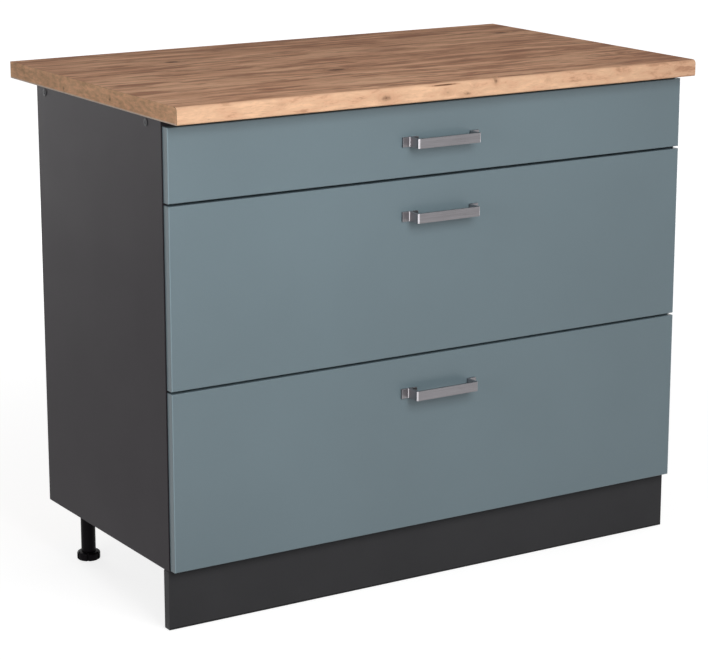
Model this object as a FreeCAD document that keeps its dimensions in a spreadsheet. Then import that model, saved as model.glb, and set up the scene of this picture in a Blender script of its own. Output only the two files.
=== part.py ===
import FreeCAD, Part
import os
import re

import Sketcher

# A kitchen base cabinet with three drawers: one low drawer over two deep ones, under a 28 mm worktop.
# Millimetres. X runs to the right, Y to the back and Z up. The origin is on the floor under the middle of the worktop.

# Driving dimensions. Each one is a cell of the sheet, and every piece reads it from there.
SIZES = {
    # the whole cabinet
    "cabinet_width": 1000,
    "cabinet_height": 850,
    # worktop
    "worktop_depth": 600,
    "worktop_thickness": 28,
    "worktop_nose_radius": 7,
    "worktop_drip_radius": 3,
    # carcass
    "carcass_depth": 442,
    "carcass_setback": 53,
    "board": 16,
    "leg_height": 100,
    "front_rail_depth": 98,
    "rear_rail_depth": 60,
    "back_board": 3,
    "back_inset": 12,
    "groove_depth": 8,
    "groove_clearance": 0.4,
    "joint_strip_width": 24,
    "joint_strip_wall": 1,
    # screws that hold the side panels to the two rails
    "carcass_screw_head": 9,
    "carcass_screw_shank": 5,
    "carcass_screw_length": 48,
    "carcass_screw_recess": 0.3,
    "countersink_depth": 2.5,
    "screw_clearance": 0.1,
    # screws up through the rails into the worktop
    "worktop_screw_inset": 150,
    "worktop_screw_shank": 4,
    "worktop_screw_head": 9,
    "worktop_screw_head_height": 2.4,
    "worktop_screw_grip": 14,
    # cam fittings that pull the bottom panel to the sides
    "cam_diameter": 15,
    "cam_height": 12.5,
    "cam_inset": 24,
    "cam_end_inset": 110,
    "cam_slot_width": 1.6,
    "cam_slot_length": 8,
    "cam_slot_depth": 3,
    # drawer fronts
    "front_thickness": 16,
    "front_side_gap": 2,
    "front_gap": 4,
    "front_base_gap": 2,
    "buffer_gap": 1,
    "front_edge_radius": 1.5,
    "front_top_gap": 8,
    "top_front_height": 118,
    # handles: a bent strap whose feet turn outwards
    "handle_length": 148,
    "handle_bar_length": 122,
    "handle_width": 16,
    "handle_projection": 30,
    "handle_strap": 4,
    "handle_drop": 60,
    "handle_screw_spacing": 135,
    "handle_bend_radius": 3.5,
    "handle_inner_radius": 1.5,
    "handle_edge": 0.5,
    "handle_screw_shank": 4,
    "handle_screw_head": 9,
    "handle_screw_head_height": 2.4,
    "handle_screw_grip": 3,
    # roller runners
    "rail_front_gap": 2,
    "rail_rear_gap": 25,
    "rail_rise": 26,
    "steel": 1.2,
    "bend_radius": 0.8,
    "rail_hole_first": 35,
    "rail_hole_pitch": 128,
    "rail_hole_diameter": 5,
    "rail_pilot_diameter": 4,
    "rail_pilot_depth": 10,
    "rail_side_gap": 0.6,
    "rail_top_width": 11,
    "rail_lip": 3.2,
    "stop_width": 9,
    "stop_height": 9,
    "stop_gap": 0.5,
    "front_roller_inset": 18,
    "roller_diameter": 21,
    "roller_side_gap": 0.5,
    "roller_crown": 1,
    "roller_dish": 1.6,
    "roller_hub": 11,
    "roller_rim": 3,
    "axle_diameter": 6,
    "axle_clearance": 0.05,
    "axle_head_diameter": 8.4,
    "axle_head_height": 0.8,
    "axle_head_gap": 0.4,
    "running_gap": 0.3,
    "hold_down_gap": 0.6,
    "travel_loss": 100,
    # drawer boxes
    "drawer_wall_gap": 15.5,
    "drawer_drop": 2,
    "drawer_ledge": 18,
    "runner_flange_gap": 0.8,
    "hem_crown": 0.2,
    "hem_depth": 6,
    "fixing_tab_width": 16,
    "fixing_tab_base": 18,
    "top_side_height": 70,
    "middle_side_height": 118,
    "bottom_side_height": 118,
    "top_back_height": 52,
    "middle_back_height": 170,
    "bottom_back_height": 170,
    "gallery_height": 160,
    "gallery_diameter": 10,
    "gallery_cap_diameter": 15,
    "gallery_cap_length": 6,
    # legs
    "leg_side_inset": 45,
    "leg_rear_inset": 55,
    "leg_front_inset": 57,
    "leg_tube_diameter": 25,
    "leg_tube_bore": 14.6,
    "socket_plate_diameter": 58,
    "socket_plate_thickness": 4,
    "socket_cup_diameter": 33,
    "socket_cup_depth": 18,
    "socket_clearance": 0.1,
    "socket_peg_diameter": 10,
    "socket_peg_spacing": 40,
    "socket_peg_length": 10,
    "socket_ribs": 4,
    "socket_rib_width": 2.4,
    "socket_rib_drop": 14,
    "foot_diameter": 40,
    "foot_height": 14,
    "foot_rim": 12.5,
    "foot_edge": 1,
    "foot_hub_diameter": 27,
    "foot_stem_diameter": 14,
    "foot_stem_length": 45,
    "foot_notch_width": 4,
    "foot_notch_depth": 4,
    "foot_notches": 6,
    # plinth
    "plinth_setback": 2,
    "plinth_top_gap": 1,
    "plinth_floor_gap": 1,
    "seal_height": 3,
    "seal_tongue_width": 3,
    "seal_tongue_height": 7,
    "clip_plate_width": 36,
    "clip_plate_height": 40,
    "clip_plate_thickness": 3,
    "clip_base": 38,
    "clip_band_height": 16,
    "clip_wall": 2.5,
    "clip_clearance": 0.4,
    "clip_arm_length": 7,
}

# Places worked out from the sizes above.
DERIVED = {
    "worktop_front": "-worktop_depth / 2",
    "carcass_top": "cabinet_height - worktop_thickness",
    "carcass_front": "worktop_front + carcass_setback",
    "carcass_rear": "carcass_front + carcass_depth",
    "outer_half": "cabinet_width / 2",
    "inner_half": "cabinet_width / 2 - board",
    "floor_top": "leg_height + board",
    "rail_underside": "carcass_top - board",
    "back_face": "carcass_rear - back_inset - back_board",
    "groove_front": "back_face - groove_clearance / 2",
    "groove_width": "back_board + groove_clearance",
    "screw_line": "carcass_top - board / 2",
    "front_screw_place": "carcass_front + front_rail_depth / 2",
    "rear_screw_place": "carcass_rear - rear_rail_depth / 2",
    "front_rear_face": "carcass_front - buffer_gap",
    "front_face": "front_rear_face - front_thickness",
    "front_half": "outer_half - front_side_gap",
    "front_space": "carcass_top - front_top_gap - leg_height - front_base_gap - 2 * front_gap",
    "middle_front_height": "(front_space - top_front_height) / 2",
    "bottom_front_height": "(front_space - top_front_height) / 2",
    "bottom_front_base": "leg_height + front_base_gap",
    "middle_front_base": "bottom_front_base + bottom_front_height + front_gap",
    "top_front_base": "middle_front_base + middle_front_height + front_gap",
    # heights above the underside of a runner rail
    "roller_axis": "steel + running_gap + roller_diameter / 2",
    "flange_underside": "roller_axis + roller_diameter / 2 + running_gap",
    "flange_top": "flange_underside + steel",
    "rail_height": "flange_top + hold_down_gap + steel",
    "ledge_top": "steel - drawer_drop",
    "drawer_floor": "ledge_top + board",
    # places along Y
    "rail_front": "carcass_front + rail_front_gap",
    "rail_length": "back_face - rail_rear_gap - rail_front",
    "drawer_travel": "rail_length - travel_loss",
    "roller_rest": "rail_length - steel - stop_gap - roller_diameter / 2",
    "roller_end": "roller_rest - drawer_travel",
    "rear_roller_place": "rail_front + roller_rest",
    "front_roller_place": "rail_front + front_roller_inset",
    "back_board_rear": "rail_length - steel",
    # distances from the cabinet's inner side
    "wall_outer": "drawer_wall_gap - steel",
    "weld_outer": "drawer_wall_gap - 2 * steel",
    "rail_track_width": "weld_outer - rail_side_gap",
    "roller_offset": "steel + axle_head_height + 2 * axle_head_gap",
    "roller_width": "rail_track_width - steel - roller_side_gap - roller_offset",
    "box_half": "inner_half - drawer_wall_gap - bend_radius",
    "outer_bend": "steel + bend_radius",
    "hem_width": "2 * outer_bend + hem_crown",
    "leg_x": "outer_half - leg_side_inset",
    "front_leg_y": "carcass_front + leg_front_inset",
    "rear_leg_y": "carcass_rear - leg_rear_inset",
    "socket_underside": "leg_height - socket_plate_thickness",
    "plinth_front": "carcass_front + plinth_setback",
    "plinth_rear": "plinth_front + board",
    "plinth_board_base": "plinth_floor_gap + seal_height",
    "clip_bore_radius": "leg_tube_diameter / 2 + clip_clearance",
    "clip_radius": "clip_bore_radius + clip_wall",
}

WORKTOP_SCREWS = [
    (f"{side} * (inner_half - worktop_screw_inset)", deep)
    for deep in ("front_screw_place", "rear_screw_place")
    for side in (-1, 1)
]
DRAWERS = ("top", "middle", "bottom")
DEEP_DRAWERS = ("middle", "bottom")
NORMAL = {"XY_Plane": 1, "YZ_Plane": 1, "XZ_Plane": -1}
RAIL_HOLES = 3
NEAR = 0.01

doc = FreeCAD.newDocument("base_cabinet")
sheet = doc.addObject("Spreadsheet::Sheet", "Sizes")
for row, (alias, number) in enumerate(SIZES.items(), start=1):
    sheet.set(f"A{row}", str(number))
    sheet.setAlias(f"A{row}", alias)
doc.recompute()

nodes = []


def full(text):
    """Writes an expression out in the names of the sheet's cells."""

    def spell(match):
        word = match.group()
        if word in DERIVED:
            return f"({full(DERIVED[word])})"
        if word in SIZES:
            return f"Sizes.{word}"
        raise NameError(word)

    return re.sub("[a-z_]+", spell, text)


def value(text):
    return float(sheet.evalExpression(full(text)))


def bind(thing, prop, text):
    thing.setExpression(prop, full(text))


def keep(piece):
    """Marks a piece as one that gets a file of its own."""
    nodes.append(piece)
    return piece


def place(piece, x="", y="", z=""):
    for axis, text in (("x", x), ("y", y), ("z", z)):
        if text:
            bind(piece, f"Placement.Base.{axis}", text)


def add_body(label, x="", y="", z=""):
    body = doc.addObject("PartDesign::Body", label)
    body.Label = label
    place(body, x, y, z)
    return body


def mirror_of(label, source):
    """The right-hand piece, mirrored from the left-hand one in the cabinet's middle plane."""
    mirror = doc.addObject("Part::Mirroring", label)
    mirror.Label = label
    mirror.Source = source
    mirror.Normal = FreeCAD.Vector(1, 0, 0)
    return mirror


def group(label, members):
    """Several separate solids that share one node."""
    compound = doc.addObject("Part::Compound", label)
    compound.Label = label
    compound.Links = members
    return compound


def add_sketch(body, plane, at=""):
    """A sketch parallel to one of the body's own planes, at a distance from it along the third axis."""
    role = f"{plane}_Plane"
    sketch = body.newObject("Sketcher::SketchObject", f"{body.Label}_sketch")
    support = next(feature for feature in body.Origin.OriginFeatures if feature.Role == role)
    sketch.AttachmentSupport = [(support, "")]
    sketch.MapMode = "FlatFace"
    if at:
        bind(sketch, "AttachmentOffset.Base.z", f"{NORMAL[role]} * ({at})")
    return sketch


def hold(sketch, kind, first, text, *rest):
    """Adds a constraint whose size is bound to the sheet."""
    number = sketch.addConstraint(Sketcher.Constraint(kind, *first, *rest, value(text)))
    bind(sketch, f"Constraints[{number}]", text)


def draw(sketch, corners):
    """A closed outline of straight edges, each corner held to the sketch's origin."""
    points = [FreeCAD.Vector(value(across), value(up), 0) for across, up in corners]
    count = len(points)
    first = sketch.GeometryCount
    for number in range(count):
        line = Part.LineSegment(points[number], points[(number + 1) % count])
        sketch.addGeometry(line, False)
    for number in range(count):
        following = first + (number + 1) % count
        sketch.addConstraint(Sketcher.Constraint("Coincident", first + number, 2, following, 1))
    for number, (across, up) in enumerate(corners):
        hold(sketch, "DistanceX", (-1, 1, first + number, 1), across)
        hold(sketch, "DistanceY", (-1, 1, first + number, 1), up)
    return sketch


def box_corners(left, bottom, right, top):
    return [(left, bottom), (right, bottom), (right, top), (left, top)]


def draw_circle(sketch, across, up, diameter):
    centre = FreeCAD.Vector(value(across), value(up), 0)
    circle = Part.Circle(centre, FreeCAD.Vector(0, 0, 1), value(diameter) / 2)
    number = sketch.addGeometry(circle, False)
    hold(sketch, "DistanceX", (-1, 1, number, 3), across)
    hold(sketch, "DistanceY", (-1, 1, number, 3), up)
    hold(sketch, "Diameter", (number,), diameter)
    return sketch


def normal_of(sketch):
    return NORMAL[sketch.AttachmentSupport[0][0].Role]


def pad(body, sketch, length, towards=1):
    """Extrudes a sketch along the positive (1) or negative (-1) direction of its third axis."""
    feature = body.newObject("PartDesign::Pad", f"{body.Label}_pad")
    feature.Profile = sketch
    feature.Reversed = normal_of(sketch) != towards
    bind(feature, "Length", length)
    doc.recompute()
    return feature


def cut(body, sketch, length, towards=1):
    """Cuts a sketch out along the positive (1) or negative (-1) direction of its third axis."""
    before = body.Shape.Volume
    feature = body.newObject("PartDesign::Pocket", f"{body.Label}_pocket")
    feature.Profile = sketch
    feature.Reversed = normal_of(sketch) == towards
    bind(feature, "Length", length)
    doc.recompute()
    if not body.Shape.Volume < before - NEAR:
        raise RuntimeError(f"{body.Label}: a pocket cuts nothing")
    return feature


def turn(body, sketch, axis):
    """Revolves a sketch about its own horizontal or vertical axis."""
    feature = body.newObject("PartDesign::Revolution", f"{body.Label}_turn")
    feature.Profile = sketch
    feature.ReferenceAxis = (sketch, [axis])
    feature.Angle = 360
    doc.recompute()
    return feature


def repeat_round(body, feature, count):
    """Repeats a feature at equal steps about the body's vertical axis."""
    pattern = body.newObject("PartDesign::PolarPattern", f"{body.Label}_pattern")
    upright = next(line for line in body.Origin.OriginFeatures if line.Role == "Z_Axis")
    pattern.Originals = [feature]
    pattern.Axis = (upright, [""])
    pattern.Angle = 360
    bind(pattern, "Occurrences", count)
    body.Tip = pattern
    doc.recompute()
    return pattern


def edges_at(shape, **where):
    """Names of the edges that lie wholly at the given x, y or z."""
    names = []
    for number, edge in enumerate(shape.Edges, start=1):
        box = edge.BoundBox
        reach = {"x": (box.XMin, box.XMax), "y": (box.YMin, box.YMax), "z": (box.ZMin, box.ZMax)}
        if all(abs(end - value(text)) < NEAR for axis, text in where.items() for end in reach[axis]):
            names.append(f"Edge{number}")
    return names


def round_over(body, size, edges):
    base = body.Tip
    feature = body.newObject("PartDesign::Fillet", f"{body.Label}_fillet")
    feature.Base = (base, edges)
    bind(feature, "Radius", size)
    doc.recompute()
    return feature


def round_bends(body, radius, corners):
    """Rounds the bends of a folded section, whose long edges run along Y through the given corners."""
    round_over(body, radius, [name for x, z in corners for name in edges_at(body.Tip.Shape, x=x, z=z)])


def chamfer(body, size, edges):
    base = body.Tip
    feature = body.newObject("PartDesign::Chamfer", f"{body.Label}_chamfer")
    feature.Base = (base, edges)
    bind(feature, "Size", size)
    doc.recompute()
    return feature


# ---------------------------------------------------------------- carcass


def make_worktop():
    """Post-formed worktop: its front edge is rounded over, more at the top than at the drip edge."""
    body = add_body("worktop", x="-cabinet_width / 2")
    section = add_sketch(body, "YZ")
    draw(section, box_corners("worktop_front", "carcass_top", "-worktop_front", "cabinet_height"))
    pad(body, section, "cabinet_width")
    round_over(body, "worktop_nose_radius", edges_at(body.Tip.Shape, y="worktop_front", z="cabinet_height"))
    round_over(body, "worktop_drip_radius", edges_at(body.Tip.Shape, y="worktop_front", z="carcass_top"))
    pilots = add_sketch(body, "XY", "carcass_top")
    for across, deep in WORKTOP_SCREWS:
        draw_circle(pilots, f"{across} + cabinet_width / 2", deep, "worktop_screw_shank + 2 * screw_clearance")
    cut(body, pilots, "worktop_screw_grip + screw_clearance")
    keep(body)


def make_worktop_screws():
    """Pan-head screws that hold the worktop from below."""
    screws = []
    for across, deep in WORKTOP_SCREWS:
        body = add_body(f"worktop_screw_{len(screws) + 1}", x=across, y=deep, z="rail_underside")
        head = add_sketch(body, "XY")
        draw_circle(head, "0", "0", "worktop_screw_head")
        pad(body, head, "worktop_screw_head_height", -1)
        chamfer(body, "worktop_screw_head_height / 3", edges_at(body.Tip.Shape, z="-worktop_screw_head_height"))
        shank = add_sketch(body, "XY")
        draw_circle(shank, "0", "0", "worktop_screw_shank")
        pad(body, shank, "board + worktop_screw_grip")
        screws.append(body)
    keep(group("worktop_screws", screws))


def make_side_panels():
    """Side panels, with a groove for the back and countersunk holes for the two rail screws."""
    left = add_body("side_panel_left", x="-outer_half")
    outline = add_sketch(left, "YZ")
    draw(outline, box_corners("carcass_front", "leg_height", "carcass_rear", "carcass_top"))
    pad(left, outline, "board")
    groove = add_sketch(left, "YZ", "board")
    draw(groove, box_corners("groove_front", "leg_height", "groove_front + groove_width", "carcass_top"))
    cut(left, groove, "groove_depth", -1)
    holes = add_sketch(left, "YZ")
    sinks = add_sketch(left, "YZ")
    for where in ("front_screw_place", "rear_screw_place"):
        draw_circle(holes, where, "screw_line", "carcass_screw_shank + 2 * screw_clearance")
        draw_circle(sinks, where, "screw_line", "carcass_screw_head + 2 * screw_clearance")
    cut(left, holes, "board")
    cut(left, sinks, "countersink_depth + carcass_screw_recess + screw_clearance")
    pilots = add_sketch(left, "YZ", "board")
    for drawer in DRAWERS:
        for number in range(RAIL_HOLES):
            along = f"rail_front + rail_hole_first + {number} * rail_hole_pitch"
            draw_circle(pilots, along, f"{drawer}_front_base + rail_rise + roller_axis", "rail_pilot_diameter")
    cut(left, pilots, "rail_pilot_depth", -1)
    keep(left)
    keep(mirror_of("side_panel_right", left))


def make_bottom_panel():
    """Bottom panel between the sides, with the back's groove and the blind holes of the leg sockets."""
    body = add_body("bottom_panel", z="leg_height")
    outline = add_sketch(body, "XY")
    draw(outline, box_corners("-inner_half", "carcass_front", "inner_half", "carcass_rear"))
    pad(body, outline, "board")
    groove = add_sketch(body, "XY", "board")
    draw(groove, box_corners("-inner_half", "groove_front", "inner_half", "groove_front + groove_width"))
    cut(body, groove, "groove_depth", -1)
    holes = add_sketch(body, "XY")
    for side in (-1, 1):
        for leg in ("front_leg_y", "rear_leg_y"):
            for end in (-1, 1):
                across = f"{side} * leg_x + {end} * socket_peg_spacing / 2"
                draw_circle(holes, across, leg, "socket_peg_diameter + 2 * socket_clearance")
    cut(body, holes, "socket_peg_length + socket_clearance")
    sockets = add_sketch(body, "XY")
    for side in (-1, 1):
        for deep in ("carcass_front + cam_end_inset", "carcass_rear - cam_end_inset"):
            draw_circle(sockets, f"{side} * (inner_half - cam_inset)", deep, "cam_diameter + 2 * screw_clearance")
    cut(body, sockets, "cam_height + screw_clearance")
    keep(body)


def make_cams():
    """Slotted cam discs let into the underside of the bottom panel."""
    left = []
    for end, deep in (("front", "carcass_front + cam_end_inset"), ("rear", "carcass_rear - cam_end_inset")):
        body = add_body(f"cam_{end}", x="cam_inset - inner_half", y=deep, z="leg_height")
        disc = add_sketch(body, "XY")
        draw_circle(disc, "0", "0", "cam_diameter")
        pad(body, disc, "cam_height")
        slot = add_sketch(body, "XY")
        half_length = "cam_slot_length / 2"
        half_width = "cam_slot_width / 2"
        draw(slot, box_corners(f"-{half_length}", f"-{half_width}", half_length, half_width))
        cut(body, slot, "cam_slot_depth")
        left.append(body)
    right = [mirror_of(f"{cam.Label}_right", cam) for cam in left]
    keep(group("cam_fittings", left + right))


def make_rail(label, front, depth, screw_place, groove_at=""):
    """A rail lying flat between the tops of the side panels, drilled in both ends for the carcass screws."""
    body = add_body(label, z="rail_underside")
    outline = add_sketch(body, "XY")
    draw(outline, box_corners("-inner_half", front, "inner_half", f"{front} + {depth}"))
    pad(body, outline, "board")
    for side in (-1, 1):
        hole = add_sketch(body, "YZ", f"{side} * inner_half")
        draw_circle(hole, screw_place, "board / 2", "carcass_screw_shank + 2 * screw_clearance")
        cut(body, hole, "carcass_screw_length + screw_clearance - board", -side)
    through = add_sketch(body, "XY")
    for across, deep in WORKTOP_SCREWS:
        if deep == screw_place:
            draw_circle(through, across, deep, "worktop_screw_shank + 2 * screw_clearance")
    cut(body, through, "board")
    if groove_at:
        groove = add_sketch(body, "XY")
        draw(groove, box_corners("-inner_half", groove_at, "inner_half", f"{groove_at} + groove_width"))
        cut(body, groove, "groove_depth")
    keep(body)


def make_back():
    """Thin back in two halves that stand in the grooves and meet in an H-shaped joint strip."""
    reach = "groove_depth - groove_clearance"
    left = add_body("back_panel_left", y="back_face")
    outline = add_sketch(left, "XZ")
    edge = "-(joint_strip_wall / 2 + screw_clearance)"
    draw(outline, box_corners(f"-(inner_half + {reach})", f"floor_top - ({reach})", edge,
                              f"rail_underside + ({reach})"))
    pad(left, outline, "back_board")
    keep(left)
    keep(mirror_of("back_panel_right", left))
    strip = add_body("back_joint_strip", z="floor_top")
    section = add_sketch(strip, "XY")
    half = "joint_strip_width / 2"
    web = "joint_strip_wall / 2"
    front = "back_face - screw_clearance"
    rear = "back_face + back_board + screw_clearance"
    draw(section, [
        (f"-{half}", f"{front} - joint_strip_wall"),
        (half, f"{front} - joint_strip_wall"),
        (half, front),
        (web, front),
        (web, rear),
        (half, rear),
        (half, f"{rear} + joint_strip_wall"),
        (f"-{half}", f"{rear} + joint_strip_wall"),
        (f"-{half}", rear),
        (f"-{web}", rear),
        (f"-{web}", front),
        (f"-{half}", front),
    ])
    pad(strip, section, "rail_underside - floor_top")
    keep(strip)


def make_carcass_screw(label, where):
    """Countersunk screw through the left side panel into the end of a rail."""
    body = add_body(label, x="carcass_screw_recess - outer_half", y=where, z="screw_line")
    profile = add_sketch(body, "XZ")
    draw(profile, [
        ("0", "0"),
        ("0", "carcass_screw_head / 2"),
        ("countersink_depth", "carcass_screw_shank / 2"),
        ("carcass_screw_length - carcass_screw_recess", "carcass_screw_shank / 2"),
        ("carcass_screw_length - carcass_screw_recess", "0"),
    ])
    turn(body, profile, "H_Axis")
    return body


def make_carcass_screws():
    left = [
        make_carcass_screw("carcass_screw_front", "front_screw_place"),
        make_carcass_screw("carcass_screw_rear", "rear_screw_place"),
    ]
    right = [mirror_of(f"{screw.Label}_right", screw) for screw in left]
    keep(group("carcass_screws", left + right))


# ---------------------------------------------------------------- legs and plinth


def make_socket(label, side, leg):
    """Leg socket: a plate under the bottom panel with two pegs in its holes and a cup for the leg tube."""
    body = add_body(label, x=f"{side} * leg_x", y=leg, z="socket_underside")
    cup = "leg_tube_diameter / 2 + socket_clearance"
    profile = add_sketch(body, "XZ")
    draw(profile, [
        ("0", "0"),
        (cup, "0"),
        (cup, "-socket_cup_depth"),
        ("socket_cup_diameter / 2", "-socket_cup_depth"),
        ("socket_cup_diameter / 2", "0"),
        ("socket_plate_diameter / 2", "socket_plate_thickness / 2"),
        ("socket_plate_diameter / 2", "socket_plate_thickness"),
        ("0", "socket_plate_thickness"),
    ])
    turn(body, profile, "V_Axis")
    web = add_sketch(body, "XZ", "-socket_rib_width / 2")
    draw(web, [
        ("leg_tube_diameter / 2 + 2 * socket_clearance", "0"),
        ("socket_cup_diameter / 2", "-socket_rib_drop"),
        ("socket_plate_diameter / 2", "0"),
        ("socket_plate_diameter / 2", "socket_plate_thickness / 2"),
        ("leg_tube_diameter / 2 + 2 * socket_clearance", "socket_plate_thickness / 2"),
    ])
    rib = pad(body, web, "socket_rib_width")
    repeat_round(body, rib, "socket_ribs")
    pegs = add_sketch(body, "XY", "socket_plate_thickness")
    draw_circle(pegs, "-socket_peg_spacing / 2", "0", "socket_peg_diameter")
    draw_circle(pegs, "socket_peg_spacing / 2", "0", "socket_peg_diameter")
    pad(body, pegs, "socket_peg_length")
    return body


def make_leg_tube(label, side, leg):
    """Leg tube, which stands over the foot's stem and ends in the cup of the socket."""
    body = add_body(label, x=f"{side} * leg_x", y=leg)
    section = add_sketch(body, "XY", "foot_height + running_gap")
    draw_circle(section, "0", "0", "leg_tube_diameter")
    draw_circle(section, "0", "0", "leg_tube_bore")
    pad(body, section, "socket_underside - foot_height - running_gap")
    keep(body)


def make_foot(label, side, leg):
    """Levelling foot: a notched disc on a stem that screws into the leg tube."""
    body = add_body(label, x=f"{side} * leg_x", y=leg)
    profile = add_sketch(body, "XZ")
    draw(profile, [
        ("0", "0"),
        ("foot_diameter / 2 - foot_edge", "0"),
        ("foot_diameter / 2", "foot_edge"),
        ("foot_diameter / 2", "foot_rim"),
        ("foot_hub_diameter / 2", "foot_height"),
        ("foot_stem_diameter / 2", "foot_height"),
        ("foot_stem_diameter / 2", "foot_height + foot_stem_length"),
        ("0", "foot_height + foot_stem_length"),
    ])
    turn(body, profile, "V_Axis")
    notch = add_sketch(body, "XY")
    draw(notch, box_corners("-foot_notch_width / 2", "foot_diameter / 2 - foot_notch_depth",
                            "foot_notch_width / 2", "foot_diameter / 2 + foot_notch_depth"))
    slot = cut(body, notch, "foot_height")
    repeat_round(body, slot, "foot_notches")
    keep(body)


def make_legs():
    sockets = []
    for depth, leg in (("front", "front_leg_y"), ("rear", "rear_leg_y")):
        for hand, side in (("left", -1), ("right", 1)):
            sockets.append(make_socket(f"leg_socket_{depth}_{hand}", side, leg))
            make_leg_tube(f"leg_tube_{depth}_{hand}", side, leg)
            make_foot(f"foot_{depth}_{hand}", side, leg)
    keep(group("leg_sockets", sockets))


def make_plinth():
    """Plinth board with a sealing strip pressed into a groove in its lower edge."""
    body = add_body("plinth_board", x="-outer_half")
    section = add_sketch(body, "YZ")
    draw(section, box_corners("plinth_front", "plinth_board_base", "plinth_rear", "leg_height - plinth_top_gap"))
    pad(body, section, "cabinet_width")
    middle = "(plinth_front + board / 2)"
    half = "(seal_tongue_width / 2 + screw_clearance)"
    groove = add_sketch(body, "YZ")
    draw(groove, box_corners(f"{middle} - {half}", "plinth_board_base", f"{middle} + {half}",
                             "plinth_board_base + seal_tongue_height + screw_clearance"))
    cut(body, groove, "cabinet_width")
    keep(body)
    seal = add_body("plinth_seal", x="-outer_half")
    profile = add_sketch(seal, "YZ")
    draw(profile, [
        ("plinth_front", "plinth_floor_gap"),
        ("plinth_rear", "plinth_floor_gap"),
        ("plinth_rear", "plinth_board_base"),
        (f"{middle} + seal_tongue_width / 2", "plinth_board_base"),
        (f"{middle} + seal_tongue_width / 2", "plinth_board_base + seal_tongue_height"),
        (f"{middle} - seal_tongue_width / 2", "plinth_board_base + seal_tongue_height"),
        (f"{middle} - seal_tongue_width / 2", "plinth_board_base"),
        ("plinth_front", "plinth_board_base"),
    ])
    pad(seal, profile, "cabinet_width")
    keep(seal)


def make_plinth_clips():
    """Clips behind the plinth whose U-shaped jaws sit round the front leg tubes."""
    left = add_body("plinth_clip_left", x="-leg_x", y="front_leg_y", z="clip_base")
    back = "plinth_rear - front_leg_y"
    plate = add_sketch(left, "XZ", back)
    draw(plate, box_corners("-clip_plate_width / 2", "0", "clip_plate_width / 2", "clip_plate_height"))
    pad(left, plate, "clip_plate_thickness")
    band_base = "(clip_plate_height - clip_band_height) / 2"
    jaw = add_sketch(left, "XY", band_base)
    draw_circle(jaw, "0", "0", "2 * clip_radius")
    pad(left, jaw, "clip_band_height")
    arms = add_sketch(left, "XY", band_base)
    draw(arms, box_corners("-clip_radius", "0", "clip_radius", "clip_arm_length"))
    pad(left, arms, "clip_band_height")
    neck = add_sketch(left, "XY", band_base)
    draw(neck, box_corners("-clip_wall", back, "clip_wall", "-clip_bore_radius"))
    pad(left, neck, "clip_band_height")
    bore = add_sketch(left, "XY", band_base)
    draw_circle(bore, "0", "0", "2 * clip_bore_radius")
    cut(left, bore, "clip_band_height")
    mouth = add_sketch(left, "XY", band_base)
    draw(mouth, box_corners("-clip_bore_radius", "0", "clip_bore_radius", "clip_radius + clip_arm_length"))
    cut(left, mouth, "clip_band_height")
    right = mirror_of("plinth_clip_right", left)
    keep(group("plinth_clips", [left, right]))


# ---------------------------------------------------------------- roller runners


def make_cabinet_rails(drawer):
    """Bent steel rail on the cabinet side: the track of the rear roller, a hold-down flange and two stops."""
    left = add_body(f"{drawer}_rail_left", x="-inner_half", y="rail_front", z=f"{drawer}_front_base + rail_rise")
    section = add_sketch(left, "XZ")
    draw(section, [
        ("0", "0"),
        ("rail_track_width", "0"),
        ("rail_track_width", "rail_lip"),
        ("rail_track_width - steel", "rail_lip"),
        ("rail_track_width - steel", "steel"),
        ("steel", "steel"),
        ("steel", "rail_height - steel"),
        ("rail_top_width", "rail_height - steel"),
        ("rail_top_width", "rail_height"),
        ("0", "rail_height"),
    ])
    pad(left, section, "rail_length")
    round_bends(left, "outer_bend", [("0", "0"), ("rail_track_width", "0"), ("0", "rail_height")])
    round_bends(left, "bend_radius", [
        ("steel", "steel"),
        ("rail_track_width - steel", "steel"),
        ("steel", "rail_height - steel"),
    ])
    for face in ("rail_length - steel", "roller_end - roller_diameter / 2 - stop_gap - steel"):
        stop = add_sketch(left, "XZ", face)
        draw(stop, box_corners("steel / 2", "steel / 2", "stop_width", "stop_height"))
        pad(left, stop, "steel")
    holes = add_sketch(left, "YZ")
    for number in range(RAIL_HOLES):
        along = f"rail_hole_first + {number} * rail_hole_pitch"
        draw_circle(holes, along, "roller_axis", "rail_hole_diameter")
    cut(left, holes, "steel")
    inner_end = "roller_offset + roller_width + axle_head_gap"
    axle = add_sketch(left, "YZ")
    draw_circle(axle, "front_roller_inset", "roller_axis", "axle_diameter")
    pad(left, axle, f"{inner_end} + axle_head_height")
    head = add_sketch(left, "YZ", inner_end)
    draw_circle(head, "front_roller_inset", "roller_axis", "axle_head_diameter")
    pad(left, head, "axle_head_height")
    keep(left)
    keep(mirror_of(f"{drawer}_rail_right", left))


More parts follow.
